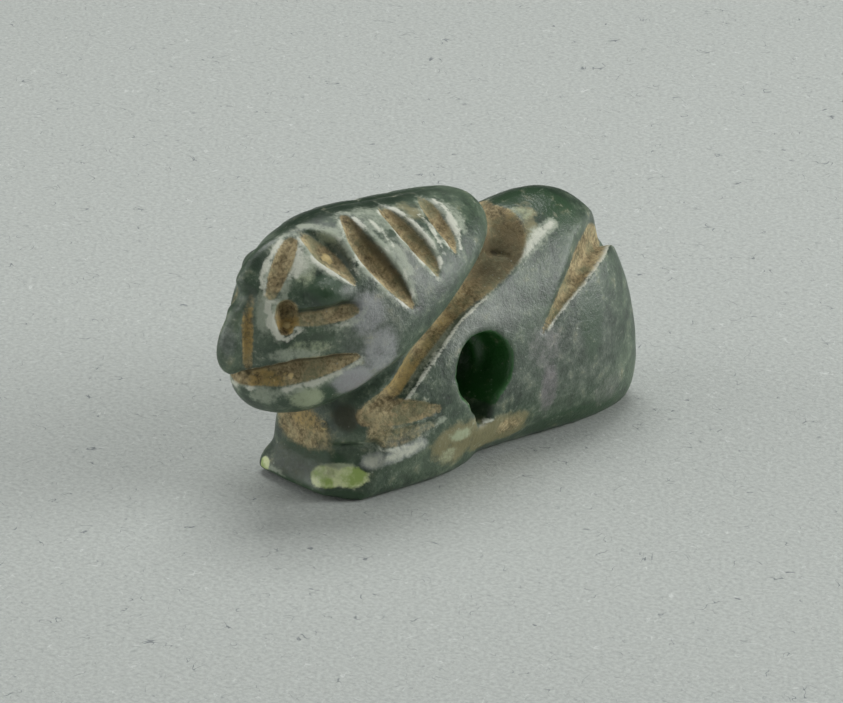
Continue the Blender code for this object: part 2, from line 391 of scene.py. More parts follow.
@dataclass(frozen=True)
class Swell:
    """A soft swelling of the blank, or a hollow where its height is below nought."""

    centre: Point
    radii: Point
    height: float

    def reach(self, points: Rows, side: int) -> Rows:
        """How strongly it acts on each point, from 0 to 1."""
        away = (points - np.array(self.centre) * (side, 1, 1)) / np.array(self.radii)
        return np.clip(1 - (away * away).sum(axis=1), 0, 1) ** 2


class Wall(Enum):
    """How a cut's side rises from its deepest line to its rim."""

    SLOPING = 1.2
    SCOOPED = 2.0
    STEEP = 4.0


class Tint(Enum):
    """What a patch on the stone is, a stain, wear or painted light, with the colour layer and channel that hold it.
    """

    # The layers' names are loose: soiling also holds the pale rims, handling the painted broad sheen, and dirt the
    # painted shade and sheen
    SOIL = ("soiling", 0)
    # Pale worn rims, which also stand in for highlights along edges
    RIM = ("soiling", 1)
    PALE = ("soiling", 2)
    STAIN = ("soiling", 3)
    CHIP = ("tinting", 0)
    # Painted lilac-grey reflection
    LILAC_REFLECTION = ("tinting", 1)
    OLIVE = ("tinting", 2)
    # Painted green glow of light through the stone, inside the bore
    BORE_GLOW = ("tinting", 3)
    POLISH = ("handling", 0)
    # Pale worn halos, which also stand in for highlights on ridges
    HALO = ("handling", 1)
    OCHRE = ("handling", 2)
    # Painted broad grey sheen
    BROAD_SHEEN = ("handling", 3)
    # Painted shade
    SHADE = ("dirt", 0)
    CRUMB = ("dirt", 1)
    GREEN = ("dirt", 2)
    # Painted sheen
    SHEEN = ("dirt", 3)

    def __init__(self, layer: str, channel: int) -> None:
        """Keeps the colour layer's name and the channel's number."""
        self.layer, self.channel = layer, channel


@dataclass(frozen=True)
class Cut:
    """One tool mark. Across it, -1 is its left or lower rim and 1 its right or upper one."""

    name: str
    path: tuple[Knot, ...]
    deepest: float = 0.0
    left_wall: Wall = Wall.SCOOPED
    right_wall: Wall = Wall.SCOOPED
    soil: float = 1.0
    soil_span: tuple[float, float] = (-1.0, 0.6)
    soil_end: float | None = None
    left_halo: float = 0.6
    right_halo: float = 0.6
    crisp: tuple[float, float] | None = None
    # How much painted shade lies on the cut's far wall
    shaded: float = 0.0
    far_first: int = 0
    far_share: float = 0.8
    both_sides: bool = True

    def depth_share(self, across: Rows) -> Rows:
        """The cut's depth at places across it, as a share of its deepest."""
        left = np.abs((across - self.deepest) / (-1 - self.deepest)) ** self.left_wall.value
        right = np.abs((across - self.deepest) / (1 - self.deepest)) ** self.right_wall.value
        share = 1 - np.where(across < self.deepest, left, right)
        return np.where(np.abs(across) < 1, np.clip(share, 0, 1), 0)


class LaidCut:
    """A tool mark laid on the blank's own surface, on one side of the stone."""

    STEPS = 12
    SOFTENINGS = 6

    def __init__(self, cut: Cut, tree: BVHTree, side: int) -> None:
        """Lays the cut.

        Args:
            cut: The tool mark.
            tree: The blank's surface.
            side: 1 for the near side and -1 for the far side.
        """
        self.cut = cut
        far = side < 0
        knots = np.array(cut.path[cut.far_first if far else 0:]) * (side, 1, 1, 1, cut.far_share if far else 1)
        if far and cut.far_first:
            knots[0, 3:] *= (0.4, 0.15)
        rows = self.smooth_path(knots)
        found = [tree.find_nearest(Vector(row[:3])) for row in rows]
        self.centre = np.array([place for place, _, _, _ in found])
        self.outward = np.array([facing for _, facing, _, _ in found])
        for _ in range(self.SOFTENINGS):
            self.centre[1:-1] = (self.centre[:-2] + 2 * self.centre[1:-1] + self.centre[2:]) / 4
            self.outward[1:-1] = (self.outward[:-2] + 2 * self.outward[1:-1] + self.outward[2:]) / 4
        self.outward /= np.linalg.norm(self.outward, axis=1)[:, None]
        along = np.gradient(self.centre, axis=0)
        self.along = along / np.linalg.norm(along, axis=1)[:, None]
        self.across = side * np.cross(self.outward, self.along)
        self.across /= np.linalg.norm(self.across, axis=1)[:, None]
        self.half_width, self.depth = rows[:, 3] / 2, rows[:, 4]
        steps = np.linalg.norm(np.diff(self.centre, axis=0), axis=1)
        self.travel = np.concatenate(([0.0], np.cumsum(steps)))

    def smooth_path(self, knots: Rows) -> Rows:
        """A smooth curve of many rows through the knots."""
        padded = np.vstack((2 * knots[0] - knots[1], knots, 2 * knots[-1] - knots[-2]))
        rows = []
        for a, b, c, d in zip(padded, padded[1:], padded[2:], padded[3:]):
            for t in np.arange(self.STEPS) / self.STEPS:
                rows.append(0.5 * (2 * b + (c - a) * t + (2 * a - 5 * b + 4 * c - d) * t * t
                                   + (3 * b - a - 3 * c + d) * t ** 3))
        rows.append(knots[-1])
        rows = np.array(rows)
        rows[:, 3:] = np.maximum(rows[:, 3:], 0.02)
        return rows

    def read(self, points: Rows, normals: Rows, facing: float) -> tuple[Rows, Rows, Rows]:
        """Finds the points that the cut's reach covers and where they lie in it.

        Args:
            points: Rows of x, y, z.
            normals: The surface's normals there.
            facing: Least agreement of a point's normal with the cut's own, from -1 to 1.

        Returns:
            The points' numbers, their nearest steps of the cut, and how far across it they lie in
            half widths, with a sign.
        """
        reach = 2.2 * self.half_width.max() + self.depth.max() + 0.3
        low, high = self.centre.min(axis=0) - reach, self.centre.max(axis=0) + reach
        near = np.nonzero(((points > low) & (points < high)).all(axis=1))[0]
        nearest = KDTree(len(self.centre))
        for number, place in enumerate(self.centre):
            nearest.insert(place, number)
        nearest.balance()
        step = np.array([nearest.find(place)[1] for place in points[near]], dtype=int)
        gap = points[near] - self.centre[step]
        out, across, along = self.outward[step], self.across[step], self.along[step]
        sideways = (gap * across).sum(axis=1)
        overrun = (gap * along).sum(axis=1)
        ends = (step == 0) | (step == len(self.centre) - 1)
        past = np.where(ends, np.abs(overrun), 0.0)
        share = np.hypot(sideways, past) / self.half_width[step] * np.where(sideways < 0, -1, 1)
        depth = np.abs((gap * out).sum(axis=1))
        faced = (normals[near] * out).sum(axis=1)
        kept = (np.abs(share) < 2.2) & (faced > facing) & (depth < self.depth[step] + 0.6)
        return near[kept], step[kept], share[kept]


@dataclass(frozen=True)
class ColourPatch:
    """A rounded patch on the stone: a stain, wear or painted light."""

    centre: Point
    radii: Point
    strength: float


@dataclass(frozen=True)
class Streak:
    """A long patch of one tint, along a line of points with a radius at each."""

    tint: Tint
    path: tuple[tuple[float, float, float, float], ...]
    strength: float = 1.0

    def cover(self, points: Rows) -> Rows:
        """How strongly it covers each point, from 0 to 1."""
        best = np.zeros(len(points))
        knots = np.array(self.path)
        for one, following in zip(knots, knots[1:]):
            way = following[:3] - one[:3]
            share = np.clip((points - one[:3]) @ way / (way @ way), 0, 1)
            gap = np.linalg.norm(points - one[:3] - share[:, None] * way, axis=1)
            radius = one[3] + share * (following[3] - one[3])
            best = np.maximum(best, eased(gap / radius, 1.3, 0.3))
        return best


class Layers:
    """How much of every tint lies on each point of the stone, from 0 to 1."""

    def __init__(self, size: int) -> None:
        """Starts with that many points of bare stone."""
        self.amounts = {tint: np.zeros(size) for tint in Tint}

    def lay(self, tint: Tint, amount: Rows, which: Any = slice(None)) -> None:
        """Raises a tint to at least this amount, on these points or on all."""
        self.amounts[tint][which] = np.maximum(self.amounts[tint][which], amount)

    def keep(self, mesh: bpy.types.Mesh) -> None:
        """Writes the tints into the mesh's colour layers."""
        for layer in sorted({tint.layer for tint in Tint}):
            values = np.zeros((len(mesh.vertices), 4), dtype=np.float32)
            for tint, amount in self.amounts.items():
                if tint.layer == layer:
                    values[:, tint.channel] = np.clip(amount, 0, 1)
            made = mesh.attributes.new(layer, "FLOAT_COLOR", "POINT")
            made.data.foreach_set("color", values.ravel())


@dataclass(frozen=True)
class Crumb:
    """A grain of old dirt stuck in a cut."""

    centre: Point
    radius: float
    height: float


@dataclass(frozen=True)
class StoneFinish:
    """Dark green stone such as chlorite or green jasper, ground, carved and polished by handling.

    The polish leaves a soft broad gloss on the swelling faces. Old brown dirt stays matt in the
    cuts, and rims that stand proud are worn pale. Some light and shade is painted into the colour:
    a grey sheen and lilac-grey reflection on the swelling faces, highlights on worn rims and ridges,
    shade on the walls of cuts, in the hollow and under the head, and a green glow in the bore.
    """

    name: str = "polished_green_stone"
    dark: str = "#1f2e22"
    middle: str = "#415441"
    light: str = "#6d7d67"
    shine: str = "#1c3020"
    soil_dark: str = "#52472c"
    soil_middle: str = "#938561"
    soil_light: str = "#d0c096"
    soil_green: str = "#757a5b"
    grit: str = "#b5a077"
    ochre: str = "#bb9a4f"
    # Pale worn rims and halos, which also stand in for highlights
    rim: str = "#cdd0c0"
    pale: str = "#adb897"
    halo: str = "#a5ae9b"
    # Painted broad grey sheen
    broad_sheen: str = "#7c807a"
    # Painted brighter sheen
    sheen: str = "#b6b7ba"
    stain: str = "#4f452a"
    # Painted shade
    shade: str = "#35321f"
    crumb: str = "#c3b07b"
    green: str = "#2e4a2f"
    chip: str = "#9fb765"
    chip_light: str = "#dbe4b0"
    # Painted lilac-grey reflection
    lilac_reflection: str = "#847b81"
    olive: str = "#827d58"
    # Painted green glow of light through the stone, inside the bore
    deep: str = "#265826"
    fleck: str = "#98a391"
    pit: str = "#1d271d"
    speck: str = "#a9b0a2"
    gloss: float = 0.33
    refraction: float = 1.62

    def stained(self, tree: bpy.types.NodeTree, colour: Any, over: Any, amount: Any, grain: Any,
                cover: float, raggedness: float, start: float, end: float) -> tuple[Any, Any]:
        """Lays a patch, stain or painted light, over a colour, through a smooth mask that a grain breaks up at its
        edge.

        Args:
            tree: The material's nodes.
            colour: The socket of the colour below.
            over: The patch's linear colour or its socket.
            amount: The socket of the smooth mask.
            grain: The socket of the grain, about 0.5 in the mean.
            cover: How much of the colour below the patch hides.
            raggedness: How far the grain moves the edge.
            start: Mask value where the patch begins to show.
            end: Mask value where it is full.

        Returns:
            The sockets of the new colour and of the ragged mask.
        """
        moved = weighted_sum(tree, ((grain, raggedness),), amount)
        shift = raggedness / 2
        mask = ranged(tree, moved, start + shift, end + shift, blend="SMOOTHSTEP")
        return covered(tree, colour, over, product(tree, mask, cover)), mask

    def tints(self, tree: bpy.types.NodeTree) -> dict[Tint, Any]:
        """Adds the sockets that hold every tint's amount."""
        found = {}
        for layer in sorted({tint.layer for tint in Tint}):
            kept = add_node(tree, "ShaderNodeAttribute", attribute_name=layer)
            parts = add_node(tree, "ShaderNodeSeparateColor", {0: kept.outputs["Color"]})
            sockets = (*parts.outputs[:3], kept.outputs["Alpha"])
            found |= {tint: sockets[tint.channel] for tint in Tint if tint.layer == layer}
        return found

    def colours(self, tree: bpy.types.NodeTree, mm: Any, grains: dict[str, Any]) -> tuple[Any, dict[Tint, Any]]:
        """Adds the stone's colour with all its stains and its painted light.

        Args:
            tree: The material's nodes.
            mm: The socket of the coordinates in millimetres.
            grains: The sockets of the noises, by name.

        Returns:
            The colour's socket, and every patch's mask.
        """
        both, mottle, blots = grains["both"], grains["mottle"], grains["blots"]
        smooth = weighted_sum(tree, ((both, 0.5), (mottle, 0.5)))
        cloudy, veined, chip, soil = (
            add_node(tree, "ShaderNodeValToRGB", {"Fac": grain}, stops).outputs["Color"]
            for grain, stops in (
                (grains["clouds"], ((0.3, self.dark), (0.5, self.middle), (0.7, self.light))),
                (smooth, ((0.38, self.dark), (0.49, self.middle), (0.6, self.light))),
                (mottle, ((0.4, self.chip), (0.58, self.chip_light))),
                (both, ((0.36, self.soil_dark), (0.49, self.soil_middle), (0.62, self.soil_light))),
            )
        )
        colour = covered(tree, cloudy, veined, 0.5)
        colour = flecked(tree, colour, ((blots, 0.57, 0.7, 0.3, self.fleck), (blots, 0.43, 0.33, 0.4, self.pit)),
                         "SMOOTHSTEP")
        soil = flecked(tree, soil, ((grains["patches"], 0.46, 0.62, 0.75, self.soil_green),
                                    (blots, 0.5, 0.68, 0.7, self.grit)), "LINEAR")
        tints = self.tints(tree)
        for tint, over, cover, ragged, start, end in (
            (Tint.OCHRE, self.ochre, 0.65, 3.2, 0.2, 1.0), (Tint.STAIN, self.stain, 0.85, 2.6, 0.1, 1.0),
        ):
            soil, _ = self.stained(tree, soil, linear(over), tints[tint], both, cover, ragged, start, end)

        masks = {}
        # Stains and wear, with painted light among them: the broad and the bright sheen are painted highlights, the
        # lilac a painted reflection, the deep green a painted glow in the bore and the shade painted shade; pale
        # rims and halos are wear that also stands in for highlights
        for tint, over, cover, ragged, start, end in (
            (Tint.BROAD_SHEEN, self.broad_sheen, 0.65, 1.6, 0.1, 1.0),
            (Tint.SHEEN, self.sheen, 0.7, 1.2, 0.1, 1.0),
            (Tint.POLISH, self.shine, 0.75, 1.2, 0.2, 0.9),
            (Tint.GREEN, self.green, 0.85, 1.2, 0.1, 0.9),
            (Tint.BORE_GLOW, self.deep, 1.0, 0.2, 0.3, 0.8),
            (Tint.LILAC_REFLECTION, self.lilac_reflection, 0.65, 2.6, 0.1, 1.2),
            (Tint.OLIVE, self.olive, 0.9, 2.0, 0.15, 0.8),
            (Tint.PALE, self.pale, 0.85, 2.2, 0.1, 0.9),
            (Tint.HALO, self.halo, 0.8, 2.6, 0.15, 1.0),
            (Tint.RIM, self.rim, 0.95, 2.0, 0.2, 0.8),
            (Tint.CHIP, chip, 1.0, 1.4, 0.25, 0.7),
            (Tint.SOIL, soil, 0.95, 1.3, 0.1, 0.8),
            (Tint.SHADE, self.shade, 0.8, 1.2, 0.1, 0.9),
            (Tint.CRUMB, self.crumb, 0.95, 0.8, 0.2, 0.6),
        ):
            grain = mottle if tint is Tint.OLIVE else both
            over = linear(over) if isinstance(over, str) else over
            colour, masks[tint] = self.stained(tree, colour, over, tints[tint], grain, cover, ragged, start, end)
        cells = add_node(tree, "ShaderNodeTexVoronoi", {"Vector": mm, "Scale": 5.0, "Randomness": 1.0})
        dot = ranged(tree, cells.outputs["Distance"], 0.17, 0.08, 0.6)
        specks = product(tree, dot, ranged(tree, mottle, 0.47, 0.6))
        return covered(tree, colour, linear(self.speck), specks), masks

    def material(self) -> bpy.types.Material:
        """Builds the stone's material."""
        made = bpy.data.materials.new(self.name)
        made.use_nodes = True
        tree = made.node_tree
        mm = millimetres(tree)
        grains = {
            name: add_node(tree, "ShaderNodeTexNoise", {
                "Vector": mm, "Scale": scale, "Detail": detail, "Roughness": rough, "Distortion": warp,
            }).outputs["Fac"]
            for name, scale, detail, rough, warp in (
                ("clouds", 0.45, 3, 0.5, 0.0), ("patches", 1.1, 3, 0.55, 0.4), ("mottle", 2.2, 4, 0.6, 0.0),
                ("fine", 9.0, 4, 0.65, 0.0), ("dust", 26.0, 2, 0.5, 0.0), ("blots", 5.5, 5, 0.7, 0.8),
            )
        }
        fine, mottle = grains["fine"], grains["mottle"]
        grains["both"] = weighted_sum(tree, ((fine, 0.5), (mottle, 0.5)))
        colour, masks = self.colours(tree, mm, grains)
        matt = weighted_sum(tree, (
            (masks[Tint.SOIL], 0.5), (masks[Tint.PALE], 0.2), (masks[Tint.HALO], 0.15),
            (masks[Tint.OLIVE], 0.2), (masks[Tint.POLISH], -0.08), (masks[Tint.SHADE], 0.35), (fine, 0.16),
        ), self.gloss)
        crust = product(tree, masks[Tint.SOIL], grains["blots"])
        height = weighted_sum(tree, ((grains["dust"], 0.35), (crust, 1.6), (mottle, 1.2)), fine)
        bump = add_node(tree, "ShaderNodeBump", {"Height": height, "Distance": 0.00003, "Strength": 0.55})
        shader = tree.nodes["Principled BSDF"]
        for key, value in (("Base Color", colour), ("Roughness", matt), ("Normal", bump.outputs[0])):
            tree.links.new(value, shader.inputs[key])
        shader.inputs["IOR"].default_value = self.refraction
        return made


# The lying body: chest, back, rump and flat belly
BODY = Mass("body_mass", (
    (-4.45, 1.4, -0.3, 2.6, 2.0, 2.6),
    (-4.05, 1.9, -0.4, 3.6, 2.0, 2.8),
    (-2.8, 2.4, -0.4, 5.4, 2.1, 2.8),
    (-1.0, 2.75, -0.3, 6.4, 2.2, 2.7),
    (0.6, 2.75, -0.3, 6.9, 2.1, 2.7),
    (2.0, 2.7, -0.35, 7.0, 2.1, 2.7),
    (3.6, 2.8, -0.5, 7.05, 2.1, 2.7),
    (5.2, 2.9, -0.6, 7.2, 2.1, 2.8),
    (6.6, 2.5, -0.7, 6.6, 2.05, 2.8),
    (7.5, 2.05, -0.6, 4.95, 2.0, 2.7),
    (8.0, 1.1, 0.5, 3.7, 2.0, 2.2),
), widest=0.38)

# Head with headdress, forelegs on their base, nose and brow
HEAD = Mass("head_mass", (
    (-7.0, 0.4, 3.9, 6.6, 2.0, 2.0),
    (-6.75, 0.8, 3.4, 7.3, 2.0, 2.0),
    (-6.2, 1.4, 2.95, 7.8, 1.9, 2.1),
    (-5.4, 2.0, 2.8, 8.3, 1.9, 2.3),
    (-4.4, 2.55, 2.95, 8.6, 1.9, 2.3),
    (-3.1, 2.95, 3.6, 8.6, 1.9, 2.3),
    (-1.7, 2.9, 4.4, 8.4, 1.9, 2.2),
    (-0.4, 2.6, 5.2, 8.2, 1.9, 2.2),
    (0.8, 2.1, 5.9, 8.1, 1.9, 2.1),
    (1.75, 1.45, 6.4, 7.95, 2.0, 2.0),
    (2.25, 0.8, 6.7, 7.6, 2.0, 2.0),
), widest=0.34)
FORELEGS = Mass("foreleg_mass", (
    (-4.84, 1.6, -0.2, 0.42, 2.6, 3.0),
    (-4.6, 2.0, -0.4, 0.75, 2.6, 3.0),
    (-4.3, 2.1, -0.45, 1.2, 2.6, 3.0),
    (-3.6, 2.05, -0.5, 1.4, 2.6, 2.8),
    (-2.4, 2.35, -0.5, 1.9, 2.4, 2.8),
    (-1.0, 2.6, -0.5, 2.3, 2.3, 2.8),
    (0.2, 2.4, -0.4, 2.0, 2.2, 2.8),
    (1.2, 1.9, -0.3, 1.4, 2.0, 2.6),
))
NOSE = Egg("nose_mass", (0, -6.8, 5.5), (0.42, 0.86, 1.15), -0.52)
BROW = Egg("brow_mass", (0, -5.2, 6.05), (0.75, 2.1, 2.25), 0.1)

# Soft forms of the face and body that the masses don't give
SWELLS = (
    Swell((1.75, -4.95, 6.85), (0.85, 0.95, 0.55), 0.22),
    Swell((1.2, -6.4, 5.0), (0.8, 0.8, 0.5), 0.06),
    Swell((1.3, -5.9, 3.6), (1.3, 1.2, 0.55), 0.08),
    Swell((2.75, -3.3, 5.3), (1.2, 1.8, 1.6), 0.06),
    Swell((1.1, -6.3, 6.1), (0.6, 0.6, 0.7), -0.08),
    Swell((0.0, -7.2, 6.85), (0.9, 0.8, 0.5), -0.25),
)

# Every tool mark, as it lies on the near side
CUTS = (
    Cut("collar", (
        (0.0, 2.75, 7.0, 0.9, 0.2), (0.7, 2.85, 6.85, 1.2, 0.4), (1.25, 2.6, 6.5, 1.36, 0.6),
        (1.65, 1.9, 6.2, 1.35, 0.65), (1.95, 0.8, 5.75, 1.1, 0.6), (2.15, -0.4, 5.2, 0.85, 0.5),
        (2.3, -1.3, 4.55, 0.8, 0.45), (2.3, -2.1, 3.85, 0.75, 0.42), (2.2, -2.7, 3.2, 0.7, 0.36),
        (1.9, -3.4, 2.8, 0.6, 0.25),
    ), deepest=-0.2, right_wall=Wall.SLOPING, soil_span=(-0.9, 0.9), soil_end=0.3,
        left_halo=0.0, right_halo=0.25, crisp=(0.4, 0.95)),
    Cut("haunch", (
        (0.6, 7.4, 4.9, 1.0, 0.35), (1.3, 6.65, 5.75, 1.15, 0.55), (2.05, 5.3, 5.6, 1.2, 0.46),
        (2.4, 4.4, 5.05, 0.88, 0.34), (2.58, 3.65, 4.5, 0.55, 0.2), (2.65, 2.9, 3.75, 0.25, 0.08),
    ), deepest=0.5, left_wall=Wall.SLOPING, right_wall=Wall.STEEP, soil=0.95, soil_span=(-0.4, 0.95),
        left_halo=0.0, right_halo=0.3, crisp=(0.2, 1.0)),
    Cut("beside_nose", (
        (0.38, -6.85, 6.9, 0.22, 0.06), (0.42, -6.95, 6.0, 0.34, 0.12), (0.45, -7.0, 4.8, 0.28, 0.1),
    ), soil_span=(-0.9, 0.9), left_halo=0.1, right_halo=0.1),
    Cut("temple", (
        (0.39, -5.2, 8.15, 0.45, 0.12), (0.59, -5.65, 7.8, 0.6, 0.24), (0.69, -6.0, 7.4, 0.56, 0.2),
        (0.76, -6.3, 6.95, 0.4, 0.1),
    ), deepest=-0.2, soil_span=(-0.9, 0.8), left_halo=1.0, right_halo=1.0, shaded=0.2,
        both_sides=False),
    Cut("brow", (
        (0.3, -4.75, 8.33, 0.3, 0.04), (0.65, -4.65, 8.25, 0.66, 0.22), (1.15, -4.45, 7.95, 0.98, 0.4),
        (1.6, -4.27, 7.55, 0.7, 0.32), (1.97, -4.15, 7.1, 0.25, 0.1),
    ), deepest=0.0, right_wall=Wall.STEEP, soil_span=(-0.9, 0.35), left_halo=1.0, right_halo=0.5,
        shaded=0.4, far_first=2),
    Cut("lock_front", (
        (0.5, -3.2, 8.4, 0.35, 0.12), (0.97, -3.3, 8.25, 0.6, 0.3), (1.48, -3.35, 7.92, 0.82, 0.44),
        (1.98, -3.2, 7.45, 0.84, 0.46), (2.46, -2.9, 6.8, 0.64, 0.32), (2.78, -2.57, 6.1, 0.2, 0.08),
    ), deepest=-0.2, soil_span=(-0.95, 0.75), left_halo=0.8, right_halo=1.0, shaded=0.75,
        far_first=1),
    Cut("lock_middle", (
        (0.4, -1.67, 8.3, 0.3, 0.05), (0.8, -1.68, 8.2, 0.65, 0.3), (1.35, -1.63, 7.95, 0.8, 0.42),
        (1.9, -1.53, 7.55, 0.78, 0.42), (2.3, -1.4, 7.1, 0.56, 0.28), (2.53, -1.38, 6.7, 0.2, 0.08),
    ), deepest=-0.2, soil_span=(-0.95, 0.7), left_halo=1.0, right_halo=1.0, shaded=0.5,
        far_first=1),
    Cut("lock_back", (
        (0.3, 0.0, 8.1, 0.3, 0.05), (0.8, -0.12, 8.0, 0.6, 0.24), (1.38, -0.25, 7.78, 0.68, 0.32),
        (1.82, -0.3, 7.48, 0.56, 0.26), (2.2, -0.38, 7.07, 0.2, 0.08),
    ), deepest=-0.2, soil_span=(-0.95, 0.7), left_halo=0.8, right_halo=1.0, shaded=0.3,
        far_first=1),
    Cut("eye", (
        (1.25, -5.98, 6.22, 0.5, 0.25), (1.6, -5.55, 6.21, 0.55, 0.32), (1.89, -5.07, 6.24, 0.58, 0.36),
        (2.09, -4.65, 6.32, 0.62, 0.36), (2.2, -4.4, 6.36, 0.5, 0.18),
    ), deepest=0.45, left_wall=Wall.SLOPING, right_wall=Wall.STEEP, soil=0.8,
        soil_span=(-0.75, 0.6), left_halo=0.6, right_halo=0.0, shaded=0.5),
    Cut("pupil", (
        (1.12, -6.05, 6.46, 0.6, 0.5), (1.14, -6.1, 6.2, 0.62, 0.46), (1.16, -6.14, 5.95, 0.42, 0.3),
    ), left_wall=Wall.STEEP, right_wall=Wall.STEEP, soil_span=(-1.0, 1.0), left_halo=1.0,
        right_halo=0.2),
    Cut("mouth", (
        (0.06, -6.98, 4.28, 0.5, 0.3), (0.67, -6.79, 4.4, 0.62, 0.36), (1.09, -6.44, 4.46, 0.8, 0.44),
        (1.52, -5.97, 4.6, 0.82, 0.46), (1.89, -5.45, 4.7, 0.7, 0.4), (2.17, -4.98, 4.82, 0.52, 0.3),
        (2.4, -4.5, 4.93, 0.26, 0.1),
    ), deepest=0.5, left_wall=Wall.SLOPING, right_wall=Wall.STEEP, soil_span=(-0.75, 1.0),
        left_halo=0.9, right_halo=0.2, shaded=0.8),
    Cut("shoulder_high", (
        (1.8, -3.6, 2.6, 0.6, 0.18), (2.3, -2.6, 2.6, 0.8, 0.26), (2.6, -1.4, 2.45, 0.3, 0.1),
    ), deepest=0.2, soil=0.9, soil_span=(-0.9, 0.9), left_halo=0.2, right_halo=0.2),
    Cut("shoulder_low", (
        (2.0, -3.5, 1.85, 0.5, 0.12), (2.3, -2.6, 1.85, 0.62, 0.18), (2.5, -1.6, 2.0, 0.3, 0.1),
    ), soil=0.5, soil_span=(-0.9, 0.9), left_halo=0.7, right_halo=0.0, both_sides=False),
    Cut("crest_line", (
        (-0.25, -4.6, 8.6, 0.1, 0.02), (-0.4, -3.0, 8.6, 0.22, 0.06), (-0.45, -1.0, 8.4, 0.22, 0.06),
        (-0.35, 0.6, 8.1, 0.2, 0.05), (-0.3, 1.9, 7.8, 0.1, 0.02),
    ), soil=0.2, soil_span=(-0.6, 0.6), left_halo=0.5, right_halo=0.2, both_sides=False),
)

# Grains of dirt in the brow, the mouth and the throat
CRUMBS = (
    Crumb((1.05, -4.42, 7.6), 0.17, 0.12),
    Crumb((1.08, -6.0, 4.36), 0.15, 0.12),
    Crumb((0.75, -6.3, 4.3), 0.11, 0.08),
    Crumb((0.80, -4.3, 2.25), 0.12, 0.09),
    Crumb((0.62, -4.32, 2.05), 0.10, 0.08),
    Crumb((1.0, -5.9, 5.95), 0.12, 0.08),
)
